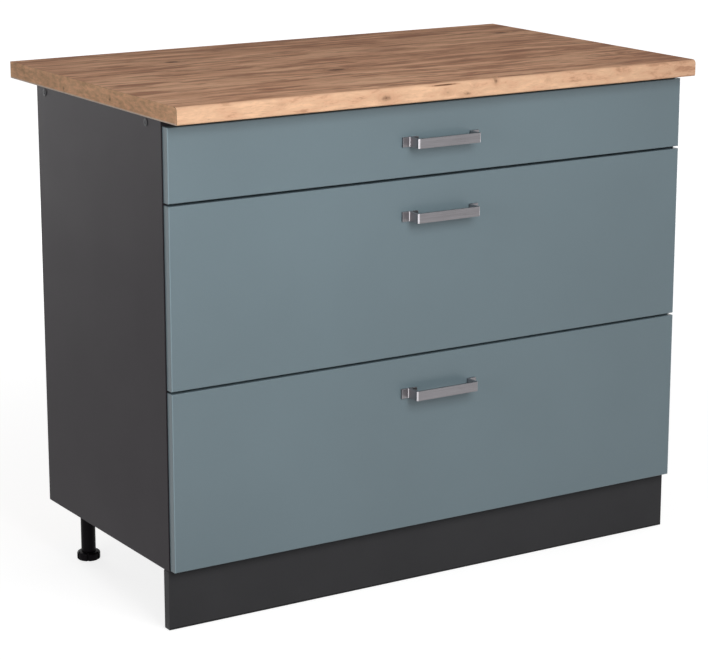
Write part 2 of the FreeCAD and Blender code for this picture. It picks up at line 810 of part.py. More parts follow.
def make_rollers(drawer, end):
    """Pair of moulded rollers, dished on both faces round a hub, that turn on the rails' or the box's axles."""
    name = f"{drawer}_{end}_roller"
    left = add_body(f"{name}_left", x="-inner_half", y=f"{end}_roller_place",
                    z=f"{drawer}_front_base + rail_rise + roller_axis")
    near = "roller_offset"
    far = "roller_offset + roller_width"
    bore = "axle_diameter / 2 + axle_clearance"
    rim = "roller_diameter / 2 - roller_rim"
    profile = add_sketch(left, "XZ")
    draw(profile, [
        (near, bore),
        (near, "roller_hub / 2"),
        (f"{near} + roller_dish", "roller_hub / 2"),
        (f"{near} + roller_dish", rim),
        (near, rim),
        (near, "roller_diameter / 2 - roller_crown"),
        (f"{near} + roller_crown", "roller_diameter / 2"),
        (f"{far} - roller_crown", "roller_diameter / 2"),
        (far, "roller_diameter / 2 - roller_crown"),
        (far, rim),
        (f"{far} - roller_dish", rim),
        (f"{far} - roller_dish", "roller_hub / 2"),
        (far, "roller_hub / 2"),
        (far, bore),
    ])
    turn(left, profile, "H_Axis")
    keep(group(f"{name}s", [left, mirror_of(f"{name}_right", left)]))


# ---------------------------------------------------------------- drawers


def make_front(drawer):
    """Drawer front with softened edges and the two through holes of the handle's screws."""
    height = f"{drawer}_front_height"
    body = add_body(f"{drawer}_front", y="front_rear_face", z=f"{drawer}_front_base")
    outline = add_sketch(body, "XZ")
    draw(outline, box_corners("-front_half", "0", "front_half", height))
    pad(body, outline, "front_thickness", -1)
    round_over(body, "front_edge_radius", edges_at(body.Tip.Shape, y="-front_thickness"))
    holes = add_sketch(body, "XZ")
    for side in (-1, 1):
        draw_circle(holes, f"{side} * handle_screw_spacing / 2", f"{height} - handle_drop",
                    "handle_screw_shank + 2 * screw_clearance")
    cut(body, holes, "front_thickness", -1)
    keep(body)


def make_handle(drawer):
    """Handle bent from one flat strap: bar, two legs and two feet, with blind holes in the feet."""
    body = add_body(f"{drawer}_handle", y="front_face",
                    z=f"{drawer}_front_base + {drawer}_front_height - handle_drop - handle_width / 2")
    bar = "handle_bar_length / 2"
    end = "handle_length / 2"
    inner = f"({bar} - handle_strap)"
    outline = add_sketch(body, "XY")
    draw(outline, [
        (f"-{end}", "0"),
        (f"-{inner}", "0"),
        (f"-{inner}", "handle_strap - handle_projection"),
        (inner, "handle_strap - handle_projection"),
        (inner, "0"),
        (end, "0"),
        (end, "-handle_strap"),
        (bar, "-handle_strap"),
        (bar, "-handle_projection"),
        (f"-{bar}", "-handle_projection"),
        (f"-{bar}", "-handle_strap"),
        (f"-{end}", "-handle_strap"),
    ])
    pad(body, outline, "handle_width")
    bends = [(f"-{bar}", "-handle_projection"), (bar, "-handle_projection")]
    inner_bends = [
        (f"-{inner}", "handle_strap - handle_projection"),
        (inner, "handle_strap - handle_projection"),
        (f"-{bar}", "-handle_strap"),
        (bar, "-handle_strap"),
    ]
    heel_bends = [(f"-{inner}", "0"), (inner, "0")]
    for radius, corners in (
        ("handle_bend_radius", bends),
        ("handle_inner_radius", inner_bends),
        ("handle_bend_radius", heel_bends),
    ):
        edges = [name for x, y in corners for name in edges_at(body.Tip.Shape, x=x, y=y)]
        round_over(body, radius, edges)
    rims = edges_at(body.Tip.Shape, z="0") + edges_at(body.Tip.Shape, z="handle_width")
    chamfer(body, "handle_edge", rims)
    holes = add_sketch(body, "XZ")
    for side in (-1, 1):
        draw_circle(holes, f"{side} * handle_screw_spacing / 2", "handle_width / 2",
                    "handle_screw_shank + 2 * screw_clearance")
    cut(body, holes, "handle_screw_grip + screw_clearance", -1)
    keep(body)


def make_handle_screws(drawer):
    """Pan-head screws that hold the handle from inside the drawer."""
    screws = []
    for hand, side in (("left", -1), ("right", 1)):
        body = add_body(f"{drawer}_handle_screw_{hand}", x=f"{side} * handle_screw_spacing / 2",
                        y="front_rear_face", z=f"{drawer}_front_base + {drawer}_front_height - handle_drop")
        head = add_sketch(body, "XZ")
        draw_circle(head, "0", "0", "handle_screw_head")
        pad(body, head, "handle_screw_head_height")
        chamfer(body, "handle_screw_head_height / 3", edges_at(body.Tip.Shape, y="handle_screw_head_height"))
        shank = add_sketch(body, "XZ")
        draw_circle(shank, "0", "0", "handle_screw_shank")
        pad(body, shank, "front_thickness + handle_screw_grip", -1)
        screws.append(body)
    keep(group(f"{drawer}_handle_screws", screws))


def make_box_sides(drawer):
    """Single-wall steel drawer side: ledge for the bottom, hemmed top edge, welded running flange and axle."""
    left = add_body(f"{drawer}_side_left", x="-inner_half", y="front_rear_face",
                    z=f"{drawer}_front_base + rail_rise")
    crest = f"({drawer}_side_height - drawer_drop)"
    hem = "(drawer_wall_gap - hem_width)"
    section = add_sketch(left, "XZ")
    draw(section, [
        ("wall_outer", "-drawer_drop"),
        ("drawer_wall_gap + drawer_ledge", "-drawer_drop"),
        ("drawer_wall_gap + drawer_ledge", "ledge_top"),
        ("drawer_wall_gap", "ledge_top"),
        ("drawer_wall_gap", crest),
        (hem, crest),
        (hem, f"{crest} - hem_depth"),
        (f"{hem} + steel", f"{crest} - hem_depth"),
        (f"{hem} + steel", f"{crest} - steel"),
        ("wall_outer", f"{crest} - steel"),
        ("wall_outer", "flange_top"),
        ("steel + runner_flange_gap", "flange_top"),
        ("steel + runner_flange_gap", "flange_underside"),
        ("weld_outer", "flange_underside"),
        ("weld_outer", "rail_lip + steel"),
        ("wall_outer", "rail_lip + steel"),
    ])
    pad(left, section, "rail_length")
    round_bends(left, "outer_bend", [("wall_outer", "-drawer_drop"), ("drawer_wall_gap", crest), (hem, crest)])
    round_bends(left, "bend_radius", [
        ("drawer_wall_gap", "ledge_top"),
        (f"{hem} + steel", f"{crest} - steel"),
        ("wall_outer", f"{crest} - steel"),
        ("weld_outer", "flange_underside"),
    ])
    for face in ("", "rail_length - steel"):
        tab = add_sketch(left, "XZ", face)
        draw(tab, box_corners("drawer_wall_gap", "fixing_tab_base", "drawer_wall_gap + fixing_tab_width",
                              f"{crest} - hem_depth"))
        pad(left, tab, "steel")
    axle_place = "rear_roller_place - front_rear_face"
    outer_end = "roller_offset - axle_head_gap"
    axle = add_sketch(left, "YZ", "wall_outer")
    draw_circle(axle, axle_place, "roller_axis", "axle_diameter")
    pad(left, axle, f"wall_outer - ({outer_end})", -1)
    head = add_sketch(left, "YZ", outer_end)
    draw_circle(head, axle_place, "roller_axis", "axle_head_diameter")
    pad(left, head, "axle_head_height", -1)
    keep(left)
    keep(mirror_of(f"{drawer}_side_right", left))


def make_box_boards(drawer):
    """Bottom board on the ledges of the two steel sides, and the back board that stands on it."""
    rail = f"{drawer}_front_base + rail_rise"
    bottom = add_body(f"{drawer}_bottom_board", y="front_rear_face", z=f"{rail} + ledge_top")
    outline = add_sketch(bottom, "XY")
    draw(outline, box_corners("-box_half", "0", "box_half", "back_board_rear"))
    pad(bottom, outline, "board")
    keep(bottom)
    back = add_body(f"{drawer}_back_board", y="front_rear_face", z=f"{rail} + drawer_floor")
    face = add_sketch(back, "XZ", "back_board_rear")
    draw(face, box_corners("-box_half", "0", "box_half", f"{drawer}_back_height"))
    pad(back, face, "board", -1)
    keep(back)


def make_gallery_rails(drawer):
    """Round rails above the sides of a deep drawer, held by caps on the front and on the back board."""
    left = add_body(f"{drawer}_gallery_rail_left", x="drawer_wall_gap - inner_half", y="front_rear_face",
                    z=f"{drawer}_front_base + rail_rise + gallery_height")
    length = "(back_board_rear - board)"
    profile = add_sketch(left, "YZ")
    draw(profile, [
        ("0", "0"),
        ("0", "gallery_cap_diameter / 2"),
        ("gallery_cap_length", "gallery_cap_diameter / 2"),
        ("gallery_cap_length", "gallery_diameter / 2"),
        (f"{length} - gallery_cap_length", "gallery_diameter / 2"),
        (f"{length} - gallery_cap_length", "gallery_cap_diameter / 2"),
        (length, "gallery_cap_diameter / 2"),
        (length, "0"),
    ])
    turn(left, profile, "H_Axis")
    keep(group(f"{drawer}_gallery_rails", [left, mirror_of(f"{drawer}_gallery_rail_right", left)]))


def make_drawer(drawer):
    make_cabinet_rails(drawer)
    make_rollers(drawer, "front")
    make_rollers(drawer, "rear")
    make_front(drawer)
    make_handle(drawer)
    make_handle_screws(drawer)
    make_box_sides(drawer)
    make_box_boards(drawer)


def write_nodes():
    """Checks every object and every piece, then writes one file for each node."""
    doc.recompute()
    for thing in doc.Objects:
        if {"Invalid", "Error"} & set(thing.State):
            raise RuntimeError(f"{thing.Label}: {thing.State}")
    labels = [piece.Label for piece in nodes]
    if len(set(labels)) != len(labels):
        raise RuntimeError("two nodes share a name")
    for piece in nodes:
        if piece.Shape.isNull() or not piece.Shape.isValid() or not piece.Shape.Solids:
            raise RuntimeError(f"{piece.Label}: no valid solid")
    os.makedirs("parts", exist_ok=True)
    for piece in nodes:
        piece.Shape.exportStep(f"parts/{piece.Label}.step")
    print(len(nodes), "nodes,", sum(len(piece.Shape.Solids) for piece in nodes), "solids")


make_worktop()
make_side_panels()
make_bottom_panel()
make_rail("front_rail", "carcass_front", "front_rail_depth", "front_screw_place")
make_rail("rear_rail", "(carcass_rear - rear_rail_depth)", "rear_rail_depth", "rear_screw_place", "groove_front")
make_back()
make_carcass_screws()
make_worktop_screws()
make_cams()
make_legs()
make_plinth()
make_plinth_clips()
for name in DRAWERS:
    make_drawer(name)
for name in DEEP_DRAWERS:
    make_gallery_rails(name)
write_nodes()
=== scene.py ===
import math

import bmesh
import bpy
from mathutils import Matrix, Vector


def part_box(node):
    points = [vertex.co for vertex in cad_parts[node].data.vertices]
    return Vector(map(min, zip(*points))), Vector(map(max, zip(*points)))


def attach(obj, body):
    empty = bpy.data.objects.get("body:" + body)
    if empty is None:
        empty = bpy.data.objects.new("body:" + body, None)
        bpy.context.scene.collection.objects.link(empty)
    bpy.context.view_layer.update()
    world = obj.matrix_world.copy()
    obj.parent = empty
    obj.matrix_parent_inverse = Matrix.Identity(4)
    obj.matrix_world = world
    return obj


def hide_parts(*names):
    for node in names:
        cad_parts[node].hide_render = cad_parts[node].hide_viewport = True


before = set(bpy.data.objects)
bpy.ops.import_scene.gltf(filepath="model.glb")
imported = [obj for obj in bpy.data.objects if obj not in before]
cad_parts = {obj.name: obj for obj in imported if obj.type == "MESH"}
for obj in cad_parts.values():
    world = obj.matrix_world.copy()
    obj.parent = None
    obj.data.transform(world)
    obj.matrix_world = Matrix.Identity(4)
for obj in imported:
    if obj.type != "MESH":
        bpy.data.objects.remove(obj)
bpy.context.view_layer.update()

bl_info = {
    "name": "Base cabinet with drawers",
    "version": (1, 0, 0),
    "blender": (4, 5, 0),
    "location": "View3D > Sidebar > Cabinet",
    "description": "Gives a packed base cabinet its finishes, handles, screws and studio",
    "category": "Object",
}

WHITE = (1.0, 1.0, 1.0, 1.0)
DRAWERS = ("top", "middle", "bottom")
HANDS = {"left": -1, "right": 1}
LEGS = ("front_left", "front_right", "rear_left", "rear_right")

# Screw places: in the drawer sides' tabs from the middle, from below and from above, and in a runner
# from the middle, from its front end and from its lower edge.
STEEL = 0.0012
TAB_SCREW_X, TAB_SCREW_UP, TAB_SCREW_DOWN = 0.4605, 0.032, 0.018
RUNNER_SCREW_X, RUNNER_SCREW_Z = 0.48285, 0.012
RUNNER_SCREWS_Y = (0.035, 0.163, 0.291)

NOSE_RADIUS = 0.007

# Knots of the worktop's decor: centre, half length, half width, and how dark each is. Their halo is wider.
KNOT_HALO = 3.2
TOP_KNOTS = (
    ((-0.272, 0.146), 0.010, 0.006, 0.80),
    ((-0.085, -0.082), 0.012, 0.006, 0.85),
    ((-0.418, 0.137), 0.040, 0.005, 0.45),
    ((-0.332, 0.205), 0.014, 0.007, 0.40),
    ((-0.218, 0.043), 0.016, 0.006, 0.35),
    ((0.430, 0.177), 0.012, 0.007, 0.75),
    ((0.126, 0.069), 0.022, 0.010, 0.45),
    ((0.418, -0.107), 0.030, 0.007, 0.45),
    ((0.437, -0.170), 0.012, 0.006, 0.55),
    ((0.068, -0.233), 0.010, 0.005, 0.55),
)
NOSE_KNOTS = (
    ((-0.127, 0.834), 0.009, 0.0045, 0.62),
    ((-0.010, 0.834), 0.006, 0.0030, 0.50),
    ((0.028, 0.829), 0.008, 0.0028, 0.58),
    ((0.084, 0.846), 0.004, 0.0060, 0.60),
    ((0.041, 0.842), 0.004, 0.0050, 0.35),
    ((0.188, 0.838), 0.006, 0.0050, 0.40),
    ((0.347, 0.841), 0.006, 0.0035, 0.35),
    ((0.461, 0.836), 0.008, 0.0040, 0.30),
    ((-0.317, 0.839), 0.006, 0.0030, 0.40),
    ((-0.017, 0.8465), 0.014, 0.0007, 0.95),
)
END_KNOTS = (
    ((0.092, 0.829), 0.005, 0.0060, 0.55),
    ((-0.076, 0.834), 0.005, 0.0060, 0.60),
    ((0.176, 0.842), 0.008, 0.0040, 0.35),
)


def shade(colour, share):
    """The same colour with its light scaled."""
    return (*(c * share for c in colour[:3]), 1.0)


# ---------------------------------------------------------------- shader maths


class Channel:
    """One output socket of a finish's nodes, so that shader maths reads as plain sums."""

    def __init__(self, finish, socket):
        self.finish = finish
        self.socket = socket

    def maths(self, operation, *values):
        return self.finish.node("ShaderNodeMath", {"operation": operation}, dict(enumerate(values)))

    def __add__(self, other):
        return self.maths("ADD", self, other)

    def __sub__(self, other):
        return self.maths("SUBTRACT", self, other)

    def __mul__(self, other):
        return self.maths("MULTIPLY", self, other)

    def __gt__(self, other):
        return self.maths("GREATER_THAN", self, other)

    def __lt__(self, other):
        return self.maths("LESS_THAN", self, other)

    def __rsub__(self, other):
        return self.maths("SUBTRACT", other, self)

    def __abs__(self):
        return self.maths("ABSOLUTE", self)

    def at_least(self, other):
        return self.maths("MAXIMUM", self, other)

    def at_most(self, other):
        return self.maths("MINIMUM", self, other)

    __radd__ = __add__
    __rmul__ = __mul__


class Finish:
    """The nodes of a material, or of a world, in the making. Every one of them comes from the method node()."""

    def __init__(self, name, family=bpy.data.materials):
        self.owner = family.new(name)
        self.owner.use_nodes = True
        self.tree = self.owner.node_tree
        self.tree.nodes.clear()

    def node(self, kind, settings=None, inputs=None, output=0):
        """Adds a node: its settings first, then the values or links of its sockets."""
        made = self.tree.nodes.new(kind)
        for name, value in (settings or {}).items():
            if name == "stops":
                set_stops(made.color_ramp, value)
            else:
                setattr(made, name, value)
        for name, value in (inputs or {}).items():
            if isinstance(value, Channel):
                self.tree.links.new(value.socket, made.inputs[name])
            else:
                made.inputs[name].default_value = value
        return Channel(self, made.outputs[output]) if made.outputs else None

    def coordinates(self, kind="Object"):
        return self.node("ShaderNodeTexCoord", output=kind)

    def siblings(self, channel):
        """All the outputs of the node that a channel comes from."""
        return [Channel(self, socket) for socket in channel.socket.node.outputs]

    def split(self, vector):
        return self.siblings(self.node("ShaderNodeSeparateXYZ", inputs={0: vector}))

    def join(self, x, y, z):
        return self.node("ShaderNodeCombineXYZ", inputs={0: x, 1: y, 2: z})

    def scaled(self, vector, scale, turn=(0, 0, 0), shift=(0, 0, 0)):
        """A vector through a Mapping node."""
        return self.node("ShaderNodeMapping", inputs={
            "Vector": vector, "Location": shift, "Rotation": turn, "Scale": scale,
        })

    def vector(self, operation, *values, output=0):
        return self.node("ShaderNodeVectorMath", {"operation": operation}, dict(enumerate(values)), output)

    def noise(self, vector, scale=1.0, detail=2.0, rough=0.5, swirl=0.0):
        return self.node("ShaderNodeTexNoise", inputs={
            "Vector": vector, "Scale": scale, "Detail": detail, "Roughness": rough, "Distortion": swirl,
        })

    def cells(self, vector):
        """Voronoi cells, each in a colour of its own."""
        return self.node("ShaderNodeTexVoronoi", inputs={"Vector": vector, "Scale": 1.0}, output="Color")

    def step(self, value, low, high, start=0.0, end=1.0):
        """Runs smoothly from start to end while value runs from low to high."""
        return self.node("ShaderNodeMapRange", {"interpolation_type": "SMOOTHSTEP"}, {
            0: value, 1: low, 2: high, 3: start, 4: end,
        })

    def ramp(self, value, *stops):
        return self.node("ShaderNodeValToRGB", {"stops": stops}, {0: value})

    def shades(self, value, colour, *stops):
        """A ramp through one colour's shades: each stop is a place and a share of the colour's light."""
        return self.ramp(value, *((place, shade(colour, share)) for place, share in stops))

    def mix(self, share, first, second):
        return self.node("ShaderNodeMix", {"data_type": "RGBA"}, {0: share, 6: first, 7: second}, 2)

    def relief(self, height, depth, strength):
        """A bump of the given depth in metres."""
        return self.node("ShaderNodeBump", inputs={"Strength": strength, "Distance": depth, "Height": height})

    def surface(self, **sockets):
        """Ends the finish with its shader and returns the material."""
        named = {name.replace("_", " "): value for name, value in sockets.items()}
        return self.close(self.node("ShaderNodeBsdfPrincipled", inputs=named))

    def close(self, shader, output="ShaderNodeOutputMaterial"):
        self.node(output, inputs={"Surface": shader})
        return self.owner


def set_stops(ramp, stops):
    """Gives a colour ramp these stops, each a place and a colour."""
    while len(ramp.elements) > 1:
        ramp.elements.remove(ramp.elements[-1])
    ramp.elements[0].position, ramp.elements[0].color = stops[0]
    for place, colour in stops[1:]:
        ramp.elements.new(place).color = colour


# ---------------------------------------------------------------- finishes


def knot_field(finish, place, knots, axes, off_plane, thickest=None):
    """How deep in a knot a point is: 1 at the middle of a dark one, 0 outside all of them."""
    for middle, length, width, dark in knots:
        centre, reach = [off_plane] * 3, [0.03] * 3
        for axis, at, half in zip(axes, middle, (length, width)):
            centre[axis], reach[axis] = at, half * KNOT_HALO
        shift = tuple(-c / r for c, r in zip(centre, reach))
        local = finish.scaled(place, tuple(1 / r for r in reach), shift=shift)
        depth = finish.node("ShaderNodeTexGradient", {"gradient_type": "SPHERICAL"}, {0: local}, 1) * dark
        thickest = depth if thickest is None else thickest.at_least(depth)
    return thickest


def oak_laminate(colours, low, high):
    """Knotty oak decor that runs over the rounded nose, an edge strip at the ends and a plain backing below."""
    finish = Finish("knotty_oak_laminate")
    place = finish.coordinates()
    x, y, z = finish.split(place)
    out_x, out_y, out_z = finish.split(finish.coordinates("Normal"))
    on_end = abs(out_x) > 0.7
    on_nose = finish.step(y, low.y + 0.003, low.y + NOSE_RADIUS, 1.0, 0.0)
    depth = knot_field(finish, place, TOP_KNOTS, (0, 1), high.z)
    depth = knot_field(finish, place, NOSE_KNOTS, (0, 2), low.y, depth)
    depth = knot_field(finish, place, END_KNOTS, (1, 2), low.x, depth)
    crumble = finish.noise(place, 260.0, 3.0, 0.6)
    depth = depth * (0.70 + crumble * 0.60)
    halo = finish.step(depth, 0.0, 0.55)
    core = finish.step(depth, 0.36, 0.70)
    # The grain runs along X on the top and nose and along Y on the ends, and bends round the knots.
    along = x + (y - x) * on_end
    across = y + (x - y) * on_end
    sway = finish.noise(finish.join(along * 1.7, across * 6.0, z * 6.0), detail=3.0, rough=0.55) - 0.5
    ripple = finish.noise(finish.join(along * 9.0, across * 17.0, z * 17.0), detail=2.0) - 0.5
    bend = sway * 0.075 + ripple * 0.013 + halo * 0.012
    across = across + bend
    height = z + sway * 0.012 + ripple * 0.004 + halo * 0.004

    def grain(length, width, detail=3.0, rough=0.6):
        """Noise drawn out along the grain: how many waves a metre it has along and across."""
        return finish.noise(finish.join(along * length, across * width, height * width), detail=detail, rough=rough)

    broad = grain(1.6, 9.0, rough=0.55)
    streak = grain(4.6, 46.0, 5.0, 0.72)
    fine = grain(11.0, 150.0)
    fibre = grain(16.0, 520.0)
    pore = grain(42.0, 1150.0, 1.0, 0.5)
    heart = finish.step(grain(5.0, 26.0, 4.0, 0.62) + (fine - 0.5) * 0.40, 0.53, 0.62)
    sap = finish.step(grain(3.8, 22.0, 4.0, 0.62) + (fine - 0.5) * 0.35, 0.54, 0.64)
    fleck = finish.step(grain(12.0, 74.0, 2.0, 0.5), 0.59, 0.67)
    dapple = grain(20.0, 68.0, 4.0, 0.66)
    # The decor darkens a little towards the right end.
    tone = broad * 0.26 + streak * 0.52 + fine * 0.12 + fibre * 0.10 - x * 0.035 + 0.002
    decor = finish.ramp(
        tone,
        (0.37, shade(colours.oak_dark, 0.64)),
        (0.44, shade(colours.oak_dark, 0.97)),
        (0.50, colours.oak),
        (0.57, shade(colours.oak_light, 1.04)),
        (0.66, shade(colours.oak_light, 1.20)),
    )
    decor = finish.mix(heart * 0.74, decor, colours.oak_heart)
    decor = finish.mix(sap * 0.50, decor, shade(colours.oak_light, 1.05))
    decor = finish.mix(fleck * 0.62, decor, colours.oak_heart)
    # Painted highlight: the nose is painted in a paler decor where its rounded edge catches the light. Its dapples are
    # decor, and it darkens towards the right end.
    nose = finish.ramp(
        dapple * 0.65 + tone * 0.35 - x * 0.05,
        (0.38, shade(colours.oak, 0.82)),
        (0.45, shade(colours.oak_light, 0.95)),
        (0.51, colours.oak_nose_highlight),
        (0.59, shade(colours.oak_nose_highlight, 1.14)),
    )
    decor = finish.mix(on_nose * 0.88, decor, nose)
    pores = finish.step(pore, 0.60, 0.74, 0.0, 0.42) * finish.step(streak, 0.35, 0.60, 1.0, 0.35)
    decor = finish.mix(pores, decor, shade(colours.oak_dark, 0.60))
    decor = finish.mix(halo * 0.45, decor, shade(colours.oak_dark, 0.95))
    # The strip glued to each end has a short mottled grain, and a pale line shows under it.
    mottle = finish.noise(finish.join(y * 60.0, z * 140.0, z * 60.0), detail=4.0, rough=0.65)
    strip = finish.shades(mottle * 0.80 + streak * 0.20, colours.oak_end, (0.36, 0.78), (0.48, 1), (0.62, 1.24))
    decor = finish.mix(on_end * 0.82, decor, strip)
    lip = finish.step(z, low.z + 0.0016, low.z + 0.0028, 1.0, 0.0) * on_end
    decor = finish.mix(lip * 0.50, decor, colours.white)
    decor = finish.mix(core, decor, colours.oak_knot)
    # The laminate's cut edge shows as a dark line round the nose's outline, and only just along the top.
    past_front = (low.y + NOSE_RADIUS) - y
    past_top = z - (high.z - NOSE_RADIUS)
    corner = finish.vector("LENGTH", finish.join(past_front.at_least(0.0), past_top.at_least(0.0), 0.0), output="Value")
    inner = past_front.at_least(past_top).at_most(0.0)
    rim = finish.step(corner + inner, NOSE_RADIUS - 0.0013, NOSE_RADIUS - 0.0006) * on_end
    rim = rim * finish.step(past_front, -0.006, 0.001, 0.12, 0.80)
    decor = finish.mix(rim, decor, colours.laminate_edge)
    # Below, the decor turns in behind the drip edge and the rest is brown backing paper.
    raw, chips = chipboard(finish, place, colours)
    behind = out_y > 0.7
    decor = finish.mix(behind, decor, raw)
    below = (out_z < -0.7) * (y > low.y + 0.020)
    paper = finish.noise(finish.scaled(place, (60.0, 60.0, 60.0)), detail=4.0, rough=0.6)
    backing = finish.shades(paper, colours.backing, (0.35, 1), (0.65, 1.12))
    bump = finish.relief((fibre * 0.5 - pores * 0.9 - core * 0.4) * (1 - below) + behind * chips * 3, 0.00008, 0.6)
    return finish.surface(
        Base_Color=finish.mix(below, decor, backing),
        Roughness=0.56 + fibre * 0.14 + below * 0.15,
        Specular_IOR_Level=0.015,
        Normal=bump,
    )


def chipboard(finish, place, colours):
    """Raw cut edge of a chipboard, as its colour and its height: pale and dark chips pressed flat."""
    chips = finish.cells(finish.scaled(place, (260.0, 260.0, 620.0)))
    tone = finish.split(chips)[0] * 0.65 + finish.noise(place, 420.0, 3.0, 0.6) * 0.35
    return finish.shades(tone, colours.chipboard, (0.18, 0.55), (0.45, 1), (0.75, 1.30)), tone


def board(name, colour, colours, shine, raw=None, pearl=0.00004):
    """Melamine-faced board with a fine pearl texture, and raw chipboard where raw() says so of a normal's parts."""
    finish = Finish(name)
    place = finish.coordinates()
    cloud = finish.noise(finish.scaled(place, (5.0, 5.0, 5.0)), detail=4.0, rough=0.6)
    speck = finish.noise(place, 850.0, 2.0, 0.6)
    tone = cloud * 0.6 + speck * 0.4
    face = finish.shades(tone, colour, (0.36, 0.90), (0.50, 1), (0.66, 1.12))
    pearls = finish.noise(place, 1300.0, 2.0, 0.5)
    smear = finish.noise(finish.scaled(place, (2.2, 2.2, 6.0)), detail=3.0, rough=0.55)
    rough = shine + (smear - 0.5) * 0.10 + (speck - 0.5) * 0.06
    height = pearls * pearl
    if raw is not None:
        bare = raw(*finish.split(finish.coordinates("Normal")))
        cut, chips = chipboard(finish, place, colours)
        face = finish.mix(bare, face, cut)
        rough = rough + bare * (0.85 - shine)
        height = height * (1 - bare) + bare * chips * 0.00025
    bump = finish.relief(height, 1.0, 0.7)
    return finish.surface(Base_Color=face, Roughness=rough, Normal=bump, Specular_IOR_Level=0.10)


def front_foil(colours, reach):
    """Semi-gloss foil pressed over a drawer front: very even, with a trace of orange peel and a painted highlight, a
    paler line on the rounded side corners.
    """
    finish = Finish("blue_grey_foil")
    place = finish.coordinates()
    cloud = finish.noise(finish.scaled(place, (3.0, 3.0, 3.0)), detail=3.0, rough=0.5)
    speck = finish.noise(place, 900.0, 1.0, 0.5)
    tone = cloud * 0.75 + speck * 0.25
    face = finish.shades(tone, colours.front, (0.36, 0.955), (0.50, 1), (0.64, 1.045))
    # Painted highlight: the rounded vertical corners are painted paler, but the flat side faces are not.
    rim = finish.step(abs(finish.split(place)[0]), reach - 0.0018, reach - 0.0006, 0.0, 0.6)
    rim = rim * finish.step(abs(finish.split(finish.coordinates("Normal"))[0]), 0.86, 0.97, 1.0, 0.0)
    face = finish.mix(rim, face, shade(colours.front, 2.0))
    smear = finish.noise(finish.scaled(place, (6.0, 6.0, 2.5)), detail=4.0, rough=0.6, swirl=0.4)
    peel = finish.noise(place, 330.0, 1.0, 0.4)
    bump = finish.relief(peel * 0.000035 + speck * 0.000004, 1.0, 0.8)
    return finish.surface(
        Base_Color=face,
        Roughness=0.31 + (smear - 0.5) * 0.14,
        Normal=bump,
    )


def hardboard(colours):
    """Thin back: light grey lacquer inside, raw brown fibre outside."""
    finish = Finish("hardboard_back")
    place = finish.coordinates()
    outside = finish.split(finish.coordinates("Normal"))[1] > 0.5
    fibre = finish.noise(finish.scaled(place, (90.0, 90.0, 190.0), turn=(0, 0.5, 0)), detail=5.0, rough=0.7, swirl=0.8)
    cloud = finish.noise(finish.scaled(place, (6.0, 6.0, 6.0)), detail=4.0, rough=0.6)
    tone = fibre * 0.6 + cloud * 0.4
    brown = finish.shades(tone, colours.hardboard, (0.34, 0.72), (0.50, 1), (0.68, 1.22))
    grey = finish.shades(tone, colours.lacquer, (0.35, 0.96), (0.65, 1.03))
    bump = finish.relief(fibre * (0.00002 + outside * 0.00010), 1.0, 0.8)
    return finish.surface(
        Base_Color=finish.mix(outside, grey, brown),
        Roughness=0.42 + outside * 0.30 + (fibre - 0.5) * 0.12,
        Normal=bump,
    )


def coated_steel(colours):
    """Grey epoxy coat on bent sheet: orange peel, a fine sparkle and rub marks."""
    finish = Finish("coated_steel")
    place = finish.coordinates()
    peel = finish.noise(place, 520.0, 2.0, 0.5)
    sparkle = finish.step(finish.noise(place, 2600.0, 1.0, 0.5), 0.62, 0.78)
    cloud = finish.noise(place, 14.0, 3.0, 0.6)
    base = finish.shades(cloud, colours.steel, (0.35, 0.94), (0.65, 1.06))
    base = finish.mix(sparkle * 0.35, base, shade(colours.steel, 1.6))
    rub = finish.noise(finish.scaled(place, (150.0, 6.0, 240.0)), detail=3.0, rough=0.6)
    worn = finish.step(rub, 0.58, 0.75)
    return finish.surface(
        Base_Color=base,
        Metallic=0.15 + sparkle * 0.3,
        Roughness=0.46 - worn * 0.12 + (cloud - 0.5) * 0.08,
        Normal=finish.relief(peel, 0.00006, 0.5),
    )


def brushed_nickel(colour, legs):
    """Nickel brushed along the bar in fine strokes, with painted highlights on the bends and rims, and the legs painted
    lighter in a rougher satin.
    """
    stroke = Vector((26.0, 26.0, 1700.0))
    finish = Finish("brushed_nickel")
    place = finish.coordinates()
    y = finish.split(place)[1]
    leg = finish.step(y, legs[0], legs[0] + 0.0015) * finish.step(y, legs[1] - 0.0015, legs[1], 1.0, 0.0)
    lines = finish.noise(finish.scaled(place, stroke), detail=3.0, rough=0.65)
    broad = finish.noise(finish.scaled(place, stroke * 0.22), detail=2.0, rough=0.5)
    cloud = finish.noise(place, 22.0, 3.0, 0.55)
    tone = lines * 0.55 + broad * 0.30 + cloud * 0.15
    base = finish.shades(tone, colour, (0.34, 0.80), (0.50, 1), (0.66, 1.16))
    out_x, out_y, out_z = finish.split(finish.coordinates("Normal"))
    # Painted highlights: the bends, most those facing -X, and the strap's rounded top rims are painted near white.
    bends = finish.step(abs(out_x * out_y), 0.16, 0.42) * finish.step(out_x, -0.2, 0.2, 0.80, 0.30)
    rims = finish.step(out_z, 0.25, 0.55) * finish.step(out_z, 0.90, 0.98, 0.55, 0.0)
    # Painted light: the legs are painted lighter, a lit copy of the bar's colour. Their extra roughness is real.
    base = finish.mix(leg, base, shade(colour, 1.55))
    return finish.surface(
        Base_Color=finish.mix(bends.at_least(rims), base, shade(colour, 2.9)),
        Metallic=1.0,
        Roughness=0.31 + leg * 0.12 + (lines - 0.5) * 0.18 + (cloud - 0.5) * 0.10,
        Normal=finish.relief(lines, 0.00002, 0.7),
    )


